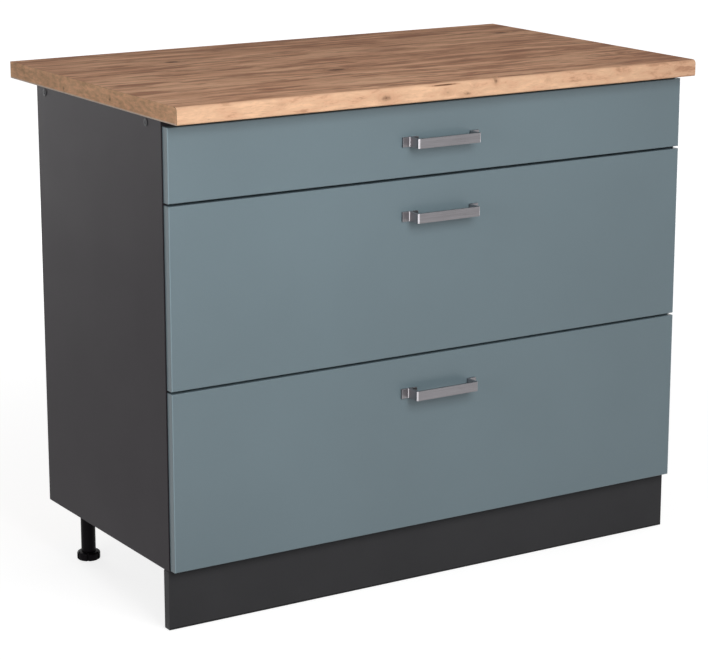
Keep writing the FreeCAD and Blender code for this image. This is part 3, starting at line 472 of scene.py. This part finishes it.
def zinc_plate(name, zinc):
    """Zinc-plated steel: cool grey with faint clouds and turning marks."""
    finish = Finish(name)
    place = finish.coordinates()
    cloud = finish.noise(place, 180.0, 4.0, 0.6, 0.6)
    fine = finish.noise(place, 1900.0, 2.0, 0.6)
    base = finish.shades(cloud, zinc, (0.34, 0.70), (0.52, 1), (0.70, 1.20))
    return finish.surface(
        Base_Color=base,
        Metallic=1.0,
        Roughness=0.30 + cloud * 0.20 + (fine - 0.5) * 0.15,
        Normal=finish.relief(fine, 0.00003, 0.5),
    )


def screw_steel_painted_shade(name, rim, flat):
    """Dull screw heads that face along X, with painted shade and a painted reflection: the rounded rim is painted dark
    as the shade in the gap round the head, and the flat is painted a little lighter.
    """
    finish = Finish(name)
    place = finish.coordinates()
    cloud = finish.noise(place, 260.0, 4.0, 0.6)
    fine = finish.noise(place, 1900.0, 2.0, 0.6)
    # Painted shade on the rounded rim and painted reflection on the flat that faces along X.
    level = finish.step(abs(finish.split(finish.coordinates("Normal"))[0]), 0.90, 0.98)
    worn = finish.step(cloud, 0.40, 0.62)
    return finish.surface(
        Base_Color=finish.mix(level, finish.shades(worn, rim, (0.0, 0.80), (1.0, 1.25)), flat),
        Roughness=0.42 + (fine - 0.5) * 0.15,
        Specular_IOR_Level=0.15,
        Normal=finish.relief(fine, 0.00003, 0.5),
    )


def moulded(name, colour, shine, grain=0.00005, greased=None, spread=0.13, specular=0.5):
    """Moulded plastic with a fine grain and a slightly uneven shine. Spread is how much its tone varies."""
    finish = Finish(name)
    place = finish.coordinates()
    fine = finish.noise(place, 1500.0, 3.0, 0.6)
    cloud = finish.noise(place, 45.0, 3.0, 0.55)
    face = finish.shades(cloud, colour, (0.34, 1 - spread), (0.50, 1), (0.68, 1 + spread))
    if greased is not None:
        film = finish.step(finish.noise(place, 160.0, 4.0, 0.65), 0.46, 0.64, 0.0, 0.35)
        face = finish.mix(film, face, greased)
    return finish.surface(
        Base_Color=face,
        Roughness=shine + (cloud - 0.5) * 0.12 + (fine - 0.5) * 0.10,
        Specular_IOR_Level=specular,
        Normal=finish.relief(fine, grain, 0.6),
    )


# ---------------------------------------------------------------- modelling by hand


def deselect():
    bpy.ops.object.select_all(action="DESELECT")


def hold(piece):
    """Makes a piece the only one selected, and the active one."""
    deselect()
    piece.select_set(True)
    bpy.context.view_layer.objects.active = piece


def settle(piece):
    """Puts a piece's place, turn and size into its mesh."""
    hold(piece)
    bpy.ops.object.transform_apply(location=True, rotation=True, scale=True)


def named(name):
    """The primitive just added, named and with its place in its mesh."""
    piece = bpy.context.object
    piece.name = name
    piece.data.name = name
    settle(piece)
    return piece


def block(name, low, high):
    """A cuboid between two corners, to shape further."""
    deselect()
    low, high = Vector(low), Vector(high)
    bpy.ops.mesh.primitive_cube_add(size=1, location=(low + high) / 2, scale=high - low)
    return named(name)


def rod(name, radius, depth, around, tip=None):
    """A round bar that stands below the origin along Z, or a cone where tip gives the lower radius."""
    deselect()
    if tip is None:
        bpy.ops.mesh.primitive_cylinder_add(vertices=around, radius=radius, depth=depth, location=(0, 0, -depth / 2))
    else:
        bpy.ops.mesh.primitive_cone_add(
            vertices=around, radius1=tip, radius2=radius, depth=depth, location=(0, 0, -depth / 2),
        )
    return named(name)


def shaping(piece, kind):
    """Opens a piece in edit mode with nothing selected."""
    if bpy.context.mode != "EDIT_MESH":
        hold(piece)
        bpy.ops.object.mode_set(mode="EDIT")
    bpy.ops.mesh.select_mode(type=kind)
    bpy.ops.mesh.select_all(action="DESELECT")
    return bmesh.from_edit_mesh(piece.data)


def pick_faces(piece, test):
    """Selects the faces whose middle and normal pass the test."""
    mesh = shaping(piece, "FACE")
    for face in mesh.faces:
        face.select_set(bool(test(face.calc_center_median(), face.normal)))
    bmesh.update_edit_mesh(piece.data)


def pick_edges(piece, test):
    """Selects the edges whose two ends both pass the test."""
    mesh = shaping(piece, "EDGE")
    for edge in mesh.edges:
        edge.select_set(all(test(corner.co) for corner in edge.verts))
    bmesh.update_edit_mesh(piece.data)


def round_rim(piece, radius, level, offset, segments):
    """Rounds the round rim that a rod has at a level."""
    pick_edges(piece, lambda at: near(at.z, level) and near(math.hypot(at.x, at.y), radius, 1e-4))
    bpy.ops.mesh.bevel(offset=offset, segments=segments, affect="EDGES")


def finish_shaping():
    bpy.ops.object.mode_set(mode="OBJECT")


def draw_out(offset):
    """Extrudes what is selected."""
    bpy.ops.mesh.extrude_region_move(TRANSFORM_OT_translate={"value": Vector(offset)})


def near(value, wanted, slack=1e-5):
    return abs(value - wanted) < slack


def soften(piece, width, segments, angle):
    """Rounds every edge sharper than the angle and shades the piece smooth."""
    hold(piece)
    bpy.ops.object.shade_smooth_by_angle(angle=math.radians(angle))
    rounding = piece.modifiers.new("rounding", "BEVEL")
    rounding.width = width
    rounding.segments = segments
    rounding.limit_method = "ANGLE"
    rounding.angle_limit = math.radians(angle)
    rounding.harden_normals = True
    bpy.ops.object.modifier_apply(modifier=rounding.name)


def sink(piece, cutter):
    """Cuts the cutter's shape out of a piece and throws the cutter away."""
    hold(piece)
    cut = piece.modifiers.new("recess", "BOOLEAN")
    cut.operation = "DIFFERENCE"
    cut.solver = "EXACT"
    cut.object = cutter
    bpy.ops.object.modifier_apply(modifier=cut.name)
    discard(cutter)


def discard(piece):
    mesh = piece.data
    bpy.data.objects.remove(piece)
    bpy.data.meshes.remove(mesh)


def stamped(pattern, name, place):
    """A copy of a pattern piece with its own mesh, moved to its place."""
    piece = pattern.copy()
    piece.data = pattern.data.copy()
    piece.name = piece.data.name = name
    bpy.context.scene.collection.objects.link(piece)
    piece.data.transform(place)
    return piece


def joined(pieces, name):
    """Several copies made one piece."""
    deselect()
    for piece in pieces:
        piece.select_set(True)
    bpy.context.view_layer.objects.active = pieces[0]
    if len(pieces) > 1:
        bpy.ops.object.join()
    pieces[0].name = pieces[0].data.name = name
    return pieces[0]


def facing(place, direction):
    """The matrix that stands a pattern at a place with its top towards a direction."""
    turn = Vector(direction).to_track_quat("Z", "Y").to_matrix().to_4x4()
    return Matrix.Translation(Vector(place)) @ turn


def dress(material, *nodes):
    """Gives CAD nodes a finish."""
    for name in nodes:
        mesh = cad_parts[name].data
        mesh.materials.clear()
        mesh.materials.append(material)


def install(piece, material, body, slot, *stands_for):
    """Gives a new piece its finish, the body it rides on and the CAD nodes it stands for."""
    piece.data.materials.clear()
    piece.data.materials.append(material)
    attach(piece, body)
    if stands_for:
        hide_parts(*stands_for)


# ---------------------------------------------------------------- sizes and colours


def size_of(name, description, value):
    return bpy.props.FloatProperty(name=name, description=description, default=value, unit="LENGTH", precision=5)


def screw_of(name, *sizes):
    return bpy.props.FloatVectorProperty(
        name=name, description="Radius and height of its head, radius of its shank, and its length over all",
        default=sizes, size=4, unit="LENGTH", precision=5,
    )


def colour_of(name, description, value):
    return bpy.props.FloatVectorProperty(
        name=name, description=description, default=value, size=4, subtype="COLOR", min=0, max=1,
    )


def power_of(name, description, value):
    return bpy.props.FloatProperty(name=name, description=description, default=value, subtype="POWER")


class CabinetColours(bpy.types.PropertyGroup):
    """Colours of the cabinet's finishes"""

    oak: colour_of("Oak", "Ground colour of the worktop's decor", (0.765, 0.422, 0.262, 1))
    oak_light: colour_of("Light oak", "Light streaks of the decor", (0.915, 0.556, 0.356, 1))
    oak_dark: colour_of("Dark oak", "Dark streaks of the decor", (0.575, 0.293, 0.180, 1))
    oak_heart: colour_of("Heartwood", "Reddish lens-shaped streaks of the decor", (0.385, 0.176, 0.106, 1))
    # Painted highlight: the pale colour painted on the nose where it catches the light.
    oak_nose_highlight: colour_of("Sapwood", "Pale dappled decor on the nose", (0.875, 0.560, 0.360, 1))
    oak_end: colour_of("End strip", "Edge strip at the worktop's ends", (0.780, 0.462, 0.272, 1))
    oak_knot: colour_of("Knot", "Core of a knot", (0.150, 0.080, 0.045, 1))
    laminate_edge: colour_of("Laminate edge", "Cut edge of the laminate", (0.130, 0.075, 0.045, 1))
    backing: colour_of("Backing paper", "Underside of the worktop", (0.300, 0.220, 0.155, 1))
    front: colour_of("Front", "Foil of the drawer fronts", (0.160, 0.219, 0.247, 1))
    carcass: colour_of("Carcass", "Anthracite of the side panels", (0.0366, 0.0317, 0.0365, 1))
    plinth: colour_of("Plinth", "Plinth board", (0.045, 0.0445, 0.047, 1))
    chipboard: colour_of("Chipboard", "Raw cut edges", (0.420, 0.290, 0.180, 1))
    hardboard: colour_of("Hardboard", "Outside of the thin back", (0.235, 0.135, 0.070, 1))
    lacquer: colour_of("Back lacquer", "Inside of the thin back", (0.480, 0.480, 0.475, 1))
    drawer_board: colour_of("Drawer boards", "Bottoms and backs of the drawers", (0.560, 0.560, 0.550, 1))
    steel: colour_of("Coated steel", "Runners and drawer sides", (0.330, 0.340, 0.350, 1))
    handle: colour_of("Handle", "Brushed nickel", (0.226, 0.217, 0.228, 1))
    zinc: colour_of("Zinc", "Screws and fittings", (0.560, 0.560, 0.550, 1))
    # Painted shade and painted reflection on the side screws: a dark rim and a lighter flat.
    screw_rim_shade: colour_of("Side screw rim", "Dark rims of the side screws", (0.014, 0.014, 0.016, 1))
    screw_flat_reflection: colour_of("Side screw flat", "Flats of the side screws", (0.058, 0.058, 0.062, 1))
    nylon: colour_of("Nylon", "Rollers", (0.760, 0.755, 0.730, 1))
    black: colour_of("Black plastic", "Legs and feet", (0.0045, 0.0032, 0.0048, 1))
    white: colour_of("Pale plastic", "Joint strip of the back", (0.700, 0.700, 0.690, 1))
    seal: colour_of("Seal", "Seal under the plinth", (0.010, 0.010, 0.011, 1))


class HandleSizes(bpy.types.PropertyGroup):
    """Sizes of the strap handles"""

    length: size_of("Length", "Over both feet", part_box("top_handle")[1].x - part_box("top_handle")[0].x)
    bar: size_of("Bar", "Length of the raised bar", 0.122)
    height: size_of("Height", "Width of the strap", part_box("top_handle")[1].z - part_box("top_handle")[0].z)
    reach: size_of("Reach", "How far the bar stands out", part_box("top_handle")[1].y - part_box("top_handle")[0].y)
    strap: size_of("Strap", "Thickness of the strap", 0.004)
    outer_bend: size_of("Outer bend", "Radius outside a bend", 0.0035)
    inner_bend: size_of("Inner bend", "Radius inside a bend", 0.0015)
    rim: size_of("Rim", "Rounding of the strap's rims", 0.0006)


class FootSizes(bpy.types.PropertyGroup):
    """Sizes of the levelling feet"""

    radius: size_of(
        "Radius", "Radius of the disc", (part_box("foot_front_left")[1].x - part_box("foot_front_left")[0].x) / 2,
    )
    height: size_of("Height", "Over disc and stem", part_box("foot_front_left")[1].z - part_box("foot_front_left")[0].z)
    disc: size_of("Disc", "Height of the disc", 0.014)
    stem: size_of("Stem", "Radius of the stem", 0.007)
    rounding: size_of("Rounding", "Radius of the disc's rims", 0.003)
    notch: size_of("Notch", "Width and depth of a notch", 0.004)
    notches: bpy.props.IntProperty(name="Notches", description="Notches round the disc", default=6)


class ScrewSizes(bpy.types.PropertyGroup):
    """Sizes of the screws"""

    side: screw_of("Side screw", 0.0065, 0.0010, 0.0025, 0.0440)
    worktop: screw_of("Worktop screw", 0.0045, 0.0024, 0.0020, 0.0319)
    handle: screw_of("Handle screw", 0.0045, 0.0024, 0.0020, 0.0208)
    tab: screw_of("Drawer side's tab screw", 0.0034, 0.0016, 0.0016, 0.0130)
    runner: screw_of("Runner screw", 0.0024, 0.0011, 0.0018, 0.0100)


class StudioSettings(bpy.types.PropertyGroup):
    """Camera, lamps and floor"""

    place: bpy.props.FloatVectorProperty(
        name="Camera", description="Where the camera stands", default=(-2.199, -3.517, 1.414), subtype="TRANSLATION",
    )
    heading: bpy.props.FloatProperty(
        name="Heading", description="Turn from the wall's normal", default=math.radians(-32.02), subtype="ANGLE",
    )
    tilt: bpy.props.FloatProperty(
        name="Tilt", description="Camera's tilt from straight down", default=math.radians(75.97), subtype="ANGLE",
    )
    lens: bpy.props.FloatProperty(
        name="Lens", description="Focal length", default=124.4, subtype="DISTANCE_CAMERA",
    )
    ambient: bpy.props.FloatProperty(name="Ambient", description="Light from all round", default=0.23)
    key: power_of("Key", "Power of the front lamp", 26.0)
    side: power_of("Side", "Power of the left lamp", 9.6)
    right: power_of("Right", "Power of the right lamp", 34.0)
    rear: power_of("Rear", "Power of the rear lamp", 50.0)
    floor: colour_of("Floor", "Pale floor", (0.42, 0.42, 0.42, 1))
    floor_glow: colour_of("Floor glow", "What the floor shows over its own light", (0.80, 0.80, 0.80, 1))
    floor_reach: bpy.props.FloatProperty(
        name="Floor reach", description="How far out the floor turns plain white", default=3.5, unit="LENGTH",
    )


# ---------------------------------------------------------------- pieces


def rear_edges(out_x, out_y, out_z):
    return out_y > 0.7


def rear_and_bottom_edges(out_x, out_y, out_z):
    return (out_y > 0.7).at_least(out_z < -0.7)


class CABINET_OT_worktop(bpy.types.Operator):
    """Lays the oak laminate on the worktop"""

    bl_idname = "cabinet.worktop"
    bl_label = "Worktop"

    def execute(self, context):
        low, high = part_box("worktop")
        dress(oak_laminate(context.scene.cabinet_colours, low, high), "worktop")
        return {"FINISHED"}


class CABINET_OT_carcass(bpy.types.Operator):
    """Finishes the side panels, bottom, rails and thin back"""

    bl_idname = "cabinet.carcass"
    bl_label = "Carcass"

    def execute(self, context):
        colours = context.scene.cabinet_colours
        dress(
            board("anthracite_side", colours.carcass, colours, 0.46, rear_and_bottom_edges),
            "side_panel_left", "side_panel_right",
        )
        dress(
            board("anthracite_board", colours.carcass, colours, 0.46, rear_edges),
            "bottom_panel", "front_rail", "rear_rail",
        )
        dress(hardboard(colours), "back_panel_left", "back_panel_right")
        dress(moulded("pale_profile", colours.white, 0.42, spread=0.03), "back_joint_strip")
        dress(zinc_plate("zinc_fitting", colours.zinc), "cam_fittings")
        return {"FINISHED"}


class CABINET_OT_drawers(bpy.types.Operator):
    """Finishes the fronts, boxes, runners and rollers of the three drawers"""

    bl_idname = "cabinet.drawers"
    bl_label = "Drawers"

    def execute(self, context):
        colours = context.scene.cabinet_colours
        foil = front_foil(colours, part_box("top_front")[1].x)
        grey_board = board("grey_drawer_board", colours.drawer_board, colours, 0.48, pearl=0.00003)
        steel = coated_steel(colours)
        nylon = moulded("roller_nylon", colours.nylon, 0.38, greased=shade(colours.nylon, 0.55))
        for drawer in DRAWERS:
            dress(foil, f"{drawer}_front")
            dress(grey_board, f"{drawer}_bottom_board", f"{drawer}_back_board")
            dress(nylon, f"{drawer}_front_rollers", f"{drawer}_rear_rollers")
            for hand in HANDS:
                dress(steel, f"{drawer}_side_{hand}", f"{drawer}_rail_{hand}")
        dress(steel, "middle_gallery_rails", "bottom_gallery_rails")
        return {"FINISHED"}


def levelling_foot(sizes):
    """A foot with its disc below the origin, rounded and notched all round, and the stem drawn out of its top."""
    foot = rod("foot", sizes.radius, sizes.disc, 72)
    pick_faces(foot, lambda at, out: out.z > 0.9)
    bpy.ops.mesh.inset(thickness=sizes.radius - sizes.stem)
    draw_out((0, 0, sizes.height - sizes.disc))
    for level in (0, -sizes.disc):
        round_rim(foot, sizes.radius, level, sizes.rounding, 5)
    finish_shaping()
    hold(foot)
    bpy.ops.object.shade_smooth_by_angle(angle=math.radians(40))
    past = sizes.notch / 2
    notch = block("notch", (sizes.radius - sizes.notch, -sizes.notch / 2, -sizes.disc - past),
                  (sizes.radius + sizes.notch, sizes.notch / 2, past))
    turns = [Matrix.Rotation(math.tau * number / sizes.notches, 4, "Z") for number in range(sizes.notches)]
    cutter = joined([stamped(notch, f"notch_{number}", turn) for number, turn in enumerate(turns)], "notches")
    discard(notch)
    sink(foot, cutter)
    return foot


class CABINET_OT_legs(bpy.types.Operator):
    """Finishes the legs, their sockets and feet, and the plinth"""

    bl_idname = "cabinet.legs"
    bl_label = "Legs and plinth"

    def execute(self, context):
        colours = context.scene.cabinet_colours
        black = moulded("black_plastic", colours.black, 0.44, specular=0.06)
        dress(black, "leg_sockets", "plinth_clips")
        sizes = context.scene.cabinet_foot
        pattern = levelling_foot(sizes)
        for leg in LEGS:
            dress(black, f"leg_tube_{leg}")
            low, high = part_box(f"foot_{leg}")
            place = Matrix.Translation(((low.x + high.x) / 2, (low.y + high.y) / 2, low.z + sizes.disc))
            foot = stamped(pattern, f"rounded_foot_{leg}", place)
            install(foot, black, f"foot_{leg}", "black_plastic", f"foot_{leg}")
        discard(pattern)
        dress(board("plinth_board", colours.plinth, colours, 0.48), "plinth_board")
        dress(moulded("seal_plastic", colours.seal, 0.34, grain=0.00002, specular=0.2), "plinth_seal")
        return {"FINISHED"}


def bent_strap(sizes):
    """The handle as one strap: bar, legs and feet drawn out of a block, then bends and rims rounded."""
    half, end = sizes.bar / 2, sizes.length / 2
    inner = half - sizes.strap
    rise = sizes.reach - 2 * sizes.strap
    strap = block("strap", (-inner, -sizes.reach, -sizes.height / 2),
                  (inner, sizes.strap - sizes.reach, sizes.height / 2))
    for side in (-1, 1):
        pick_faces(strap, lambda at, out: out.x * side > 0.9 and near(at.x, inner * side))
        draw_out((sizes.strap * side, 0, 0))
        pick_faces(strap, lambda at, out: out.y > 0.9 and at.x * side > inner)
        draw_out((0, rise, 0))
        draw_out((0, sizes.strap, 0))
        pick_faces(strap, lambda at, out: out.x * side > 0.9 and at.y > -sizes.strap)
        draw_out(((end - half) * side, 0, 0))
    outer = {(half, -sizes.reach), (inner, 0.0)}
    hollow = {(inner, sizes.strap - sizes.reach), (half, -sizes.strap)}
    for corners, radius in ((outer, sizes.outer_bend), (hollow, sizes.inner_bend)):
        pick_edges(strap, lambda at: any(near(abs(at.x), x) and near(at.y, y) for x, y in corners))
        bpy.ops.mesh.bevel(offset=radius, segments=7, affect="EDGES")
    finish_shaping()
    soften(strap, sizes.rim, 3, 35)
    return strap


class CABINET_OT_handles(bpy.types.Operator):
    """Bends the strap handles and sets them on the drawer fronts"""

    bl_idname = "cabinet.handles"
    bl_label = "Strap handles"

    def execute(self, context):
        sizes = context.scene.cabinet_handle
        pattern = bent_strap(sizes)
        low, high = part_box("top_handle")
        legs = (low.y + sizes.strap, high.y - sizes.strap)
        nickel = brushed_nickel(context.scene.cabinet_colours.handle, legs)
        for drawer in DRAWERS:
            low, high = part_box(f"{drawer}_handle")
            place = Matrix.Translation(((low.x + high.x) / 2, high.y, (low.z + high.z) / 2))
            handle = stamped(pattern, f"strap_handle_{drawer}", place)
            install(handle, nickel, f"{drawer}_drawer", "brushed_nickel", f"{drawer}_handle")
        discard(pattern)
        return {"FINISHED"}


def cross_recess(name, reach, width, depth):
    """A tapered cross to sink into a screw head: a square bar with four arms drawn out."""
    cross = block(name, (-width / 2, -width / 2, -depth), (width / 2, width / 2, depth))
    for direction in (Vector((1, 0, 0)), Vector((-1, 0, 0)), Vector((0, 1, 0)), Vector((0, -1, 0))):
        pick_faces(cross, lambda at, out: out.dot(direction) > 0.9 and at.dot(direction) < width)
        draw_out(direction * (reach - width / 2))
    pick_faces(cross, lambda at, out: out.z < -0.9)
    bpy.ops.transform.resize(value=(0.55, 0.55, 1.0), center_override=(0, 0, -depth))
    finish_shaping()
    return cross


def countersunk_screw(name, radius, depth, shank, length):
    """A flush screw: cone head with a softened rim, a shank below and a cross recess."""
    screw = rod(name, radius, depth, 40, tip=shank)
    pick_faces(screw, lambda at, out: out.z < -0.9)
    draw_out((0, 0, depth - length))
    pick_faces(screw, lambda at, out: out.z > 0.9)
    bpy.ops.mesh.inset(thickness=radius * 0.12)
    bpy.ops.mesh.inset(thickness=radius * 0.10)
    bpy.ops.transform.translate(value=(0, 0, -radius * 0.05))
    finish_shaping()
    sink(screw, cross_recess(f"{name}_cross", radius * 0.58, radius * 0.20, depth * 0.7))
    hold(screw)
    bpy.ops.object.shade_smooth_by_angle(angle=math.radians(32))
    return screw


def pan_screw(name, radius, depth, shank, length):
    """A screw with a domed pan head, a shank below and a cross recess."""
    screw = rod(name, radius, depth, 40)
    pick_faces(screw, lambda at, out: out.z < -0.9)
    bpy.ops.mesh.inset(thickness=radius - shank)
    draw_out((0, 0, depth - length))
    round_rim(screw, radius, 0, depth * 0.72, 5)
    finish_shaping()
    sink(screw, cross_recess(f"{name}_cross", radius * 0.52, radius * 0.18, depth * 0.55))
    hold(screw)
    bpy.ops.object.shade_smooth_by_angle(angle=math.radians(32))
    return screw


class CABINET_OT_carcass_screws(bpy.types.Operator):
    """Drives the domed side screws and the pan-head worktop screws"""

    bl_idname = "cabinet.carcass_screws"
    bl_label = "Carcass screws"

    def execute(self, context):
        sizes = context.scene.cabinet_screws
        colours = context.scene.cabinet_colours
        dull = screw_steel_painted_shade("dull_side_screw", colours.screw_rim_shade, colours.screw_flat_reflection)
        zinc = zinc_plate("zinc_worktop_screw", colours.zinc)
        low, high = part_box("carcass_screws")
        height = (low.z + high.z) / 2
        radius = (high.z - low.z) / 2
        dome = pan_screw("dome_pattern", *sizes.side)
        proud = sizes.side[1]
        heads = [
            stamped(dome, f"side_screw_{side}_{number}", facing((x, y, height), (side, 0, 0)))
            for side, x in ((-1, low.x - proud), (1, high.x + proud))
            for number, y in enumerate((low.y + radius, high.y - radius))
        ]
        install(joined(heads, "side_screws"), dull, "cabinet", "zinc_screw", "carcass_screws")
        discard(dome)
        low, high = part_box("worktop_screws")
        pan = pan_screw("pan_pattern", *sizes.worktop)
        reach = sizes.worktop[0]
        heads = [
            stamped(pan, f"rail_screw_{x:.2f}_{y:.2f}", facing((x, y, low.z), (0, 0, -1)))
            for x in (low.x + reach, high.x - reach)
            for y in (low.y + reach, high.y - reach)
        ]
        install(joined(heads, "rail_screws"), zinc, "cabinet", "zinc_screw", "worktop_screws")
        discard(pan)
        return {"FINISHED"}


class CABINET_OT_drawer_screws(bpy.types.Operator):
    """Drives the handle screws, the screws of the drawer sides' tabs and the runners' screws"""

    bl_idname = "cabinet.drawer_screws"
    bl_label = "Drawer screws"

    def execute(self, context):
        sizes = context.scene.cabinet_screws
        zinc = zinc_plate("zinc_drawer_screw", context.scene.cabinet_colours.zinc)
        handle_screw = pan_screw("handle_pattern", *sizes.handle)
        tab_screw = pan_screw("tab_pattern", *sizes.tab)
        rail_screw = countersunk_screw("rail_pattern", *sizes.runner)
        for drawer in DRAWERS:
            low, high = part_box(f"{drawer}_handle_screws")
            reach = (high.z - low.z) / 2
            heads = [
                stamped(handle_screw, f"{drawer}_head_{x:.2f}", facing((x, high.y, (low.z + high.z) / 2), (0, 1, 0)))
                for x in (low.x + reach, high.x - reach)
            ]
            install(joined(heads, f"handle_screws_{drawer}"), zinc, f"{drawer}_drawer", "zinc_screw",
                    f"{drawer}_handle_screws")
            self.tab_screws(drawer, tab_screw, sizes.tab[1], zinc)
            self.rail_screws(drawer, rail_screw, zinc)
        for pattern in (handle_screw, tab_screw, rail_screw):
            discard(pattern)
        return {"FINISHED"}

    def tab_screws(self, drawer, pattern, head, zinc):
        """Two screws in each tab of the steel sides, at the front and at the back board."""
        heads = []
        for hand, side in HANDS.items():
            low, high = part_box(f"{drawer}_side_{hand}")
            for z in (low.z + TAB_SCREW_UP, high.z - TAB_SCREW_DOWN):
                for y in (low.y + STEEL + head, high.y + head):
                    heads.append(stamped(pattern, f"tab_{len(heads)}", facing((side * TAB_SCREW_X, y, z), (0, 1, 0))))
        install(joined(heads, f"tab_screws_{drawer}"), zinc, f"{drawer}_drawer", "zinc_screw")

    def rail_screws(self, drawer, pattern, zinc):
        """Flush screws in the three holes of each runner on the cabinet."""
        heads = []
        for hand, side in HANDS.items():
            low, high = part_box(f"{drawer}_rail_{hand}")
            for back in RUNNER_SCREWS_Y:
                place = (side * RUNNER_SCREW_X, low.y + back, low.z + RUNNER_SCREW_Z)
                heads.append(stamped(pattern, f"rail_{len(heads)}", facing(place, (-side, 0, 0))))
        install(joined(heads, f"runner_screws_{drawer}"), zinc, "cabinet", "zinc_screw")


def backdrop_rays(finish):
    """1 for a ray that shows the backdrop in view, in a reflection or through something clear, 0 for its light."""
    rays = finish.siblings(finish.node("ShaderNodeLightPath"))
    seen = [ray for ray in rays if ray.socket.name in ("Is Camera Ray", "Is Glossy Ray", "Is Transmission Ray")]
    return seen[0].at_least(seen[1].at_least(seen[2]))


# Each lamp: size, where it hangs and where it looks.
LAMPS = {
    "key": (1.2, (-0.30, -2.0, 1.44), (0.0, 0.0, 0.65)),
    "side": (1.0, (-2.3, -1.1, 0.85), (-0.5, -0.1, 0.50)),
    "right": (1.5, (3.2, 0.2, 0.40), (0.5, 0.0, 0.40)),
    "rear": (1.6, (-0.4, 3.3, 0.40), (0.0, 0.2, 0.45)),
}


class CABINET_OT_studio(bpy.types.Operator):
    """Sets up the camera, lamps, world and floor"""

    bl_idname = "cabinet.studio"
    bl_label = "Studio"

    def execute(self, context):
        settings = context.scene.cabinet_studio
        context.scene.view_settings.view_transform = "Standard"
        camera = bpy.data.objects.new("camera", bpy.data.cameras.new("camera"))
        camera.location = settings.place
        camera.rotation_euler = (settings.tilt, 0, settings.heading)
        camera.data.lens = settings.lens
        camera.data.sensor_width = 36
        context.scene.collection.objects.link(camera)
        context.scene.camera = camera
        for name in LAMPS:
            power = getattr(settings, name)
            self.lamp(context, f"{name}_lamp", power, *LAMPS[name])
        self.world(context, settings)
        self.floor(settings)
        return {"FINISHED"}

    def lamp(self, context, name, power, size, place, target):
        """A square soft box that looks at a point and isn't seen itself."""
        data = bpy.data.lights.new(name, "AREA")
        data.energy = power
        data.size = size
        lamp = bpy.data.objects.new(name, data)
        lamp.location = place
        lamp.rotation_euler = (Vector(target) - Vector(place)).to_track_quat("-Z", "Y").to_euler()
        lamp.visible_camera = False
        context.scene.collection.objects.link(lamp)

    def world(self, context, settings):
        """White behind the object, and a softer even light on it."""
        sky = Finish("studio_world", bpy.data.worlds)
        light = settings.ambient + backdrop_rays(sky) * (1 - settings.ambient)
        background = sky.node("ShaderNodeBackground", inputs={"Color": WHITE, "Strength": light})
        context.scene.world = sky.close(background, "ShaderNodeOutputWorld")

    def floor(self, settings):
        """A wide pale floor that shows white and keeps a soft shadow."""
        deselect()
        bpy.ops.mesh.primitive_plane_add(size=90, location=(0, 0, -0.0005))
        floor = named("studio_floor")
        pale = Finish("pale_floor")
        matt = pale.node("ShaderNodeBsdfDiffuse", inputs={"Color": settings.floor})
        away = pale.vector("LENGTH", pale.coordinates(), output="Value")
        white = pale.mix(pale.step(away, 1.0, settings.floor_reach), settings.floor_glow, WHITE)
        glow = pale.node("ShaderNodeEmission", inputs={"Color": white, "Strength": backdrop_rays(pale)})
        floor.data.materials.append(pale.close(pale.node("ShaderNodeAddShader", inputs={0: matt, 1: glow})))


# ---------------------------------------------------------------- panel and start

OPERATORS = (
    CABINET_OT_worktop,
    CABINET_OT_carcass,
    CABINET_OT_drawers,
    CABINET_OT_legs,
    CABINET_OT_handles,
    CABINET_OT_carcass_screws,
    CABINET_OT_drawer_screws,
    CABINET_OT_studio,
)
SETTINGS = {
    "cabinet_colours": CabinetColours,
    "cabinet_handle": HandleSizes,
    "cabinet_foot": FootSizes,
    "cabinet_screws": ScrewSizes,
    "cabinet_studio": StudioSettings,
}


class CABINET_PT_parts(bpy.types.Panel):
    """Lists the cabinet's pieces and their sizes"""

    bl_idname = "CABINET_PT_parts"
    bl_label = "Base cabinet"
    bl_space_type = "VIEW_3D"
    bl_region_type = "UI"
    bl_category = "Cabinet"

    def draw(self, context):
        for operator in OPERATORS:
            self.layout.operator(operator.bl_idname)
        for name, group in SETTINGS.items():
            box = self.layout.box()
            box.label(text=group.__doc__)
            for prop in group.__annotations__:
                box.prop(getattr(context.scene, name), prop)


def register():
    for group in SETTINGS.values():
        bpy.utils.register_class(group)
    for kind in (*OPERATORS, CABINET_PT_parts):
        bpy.utils.register_class(kind)
    for name, group in SETTINGS.items():
        setattr(bpy.types.Scene, name, bpy.props.PointerProperty(type=group))


def unregister():
    for name in SETTINGS:
        delattr(bpy.types.Scene, name)
    for kind in (CABINET_PT_parts, *OPERATORS, *SETTINGS.values()):
        bpy.utils.unregister_class(kind)


def main():
    register()
    bpy.ops.cabinet.worktop()
    bpy.ops.cabinet.carcass()
    bpy.ops.cabinet.drawers()
    bpy.ops.cabinet.legs()
    bpy.ops.cabinet.handles()
    bpy.ops.cabinet.carcass_screws()
    bpy.ops.cabinet.drawer_screws()
    bpy.ops.cabinet.studio()


if __name__ == "__main__":
    main()
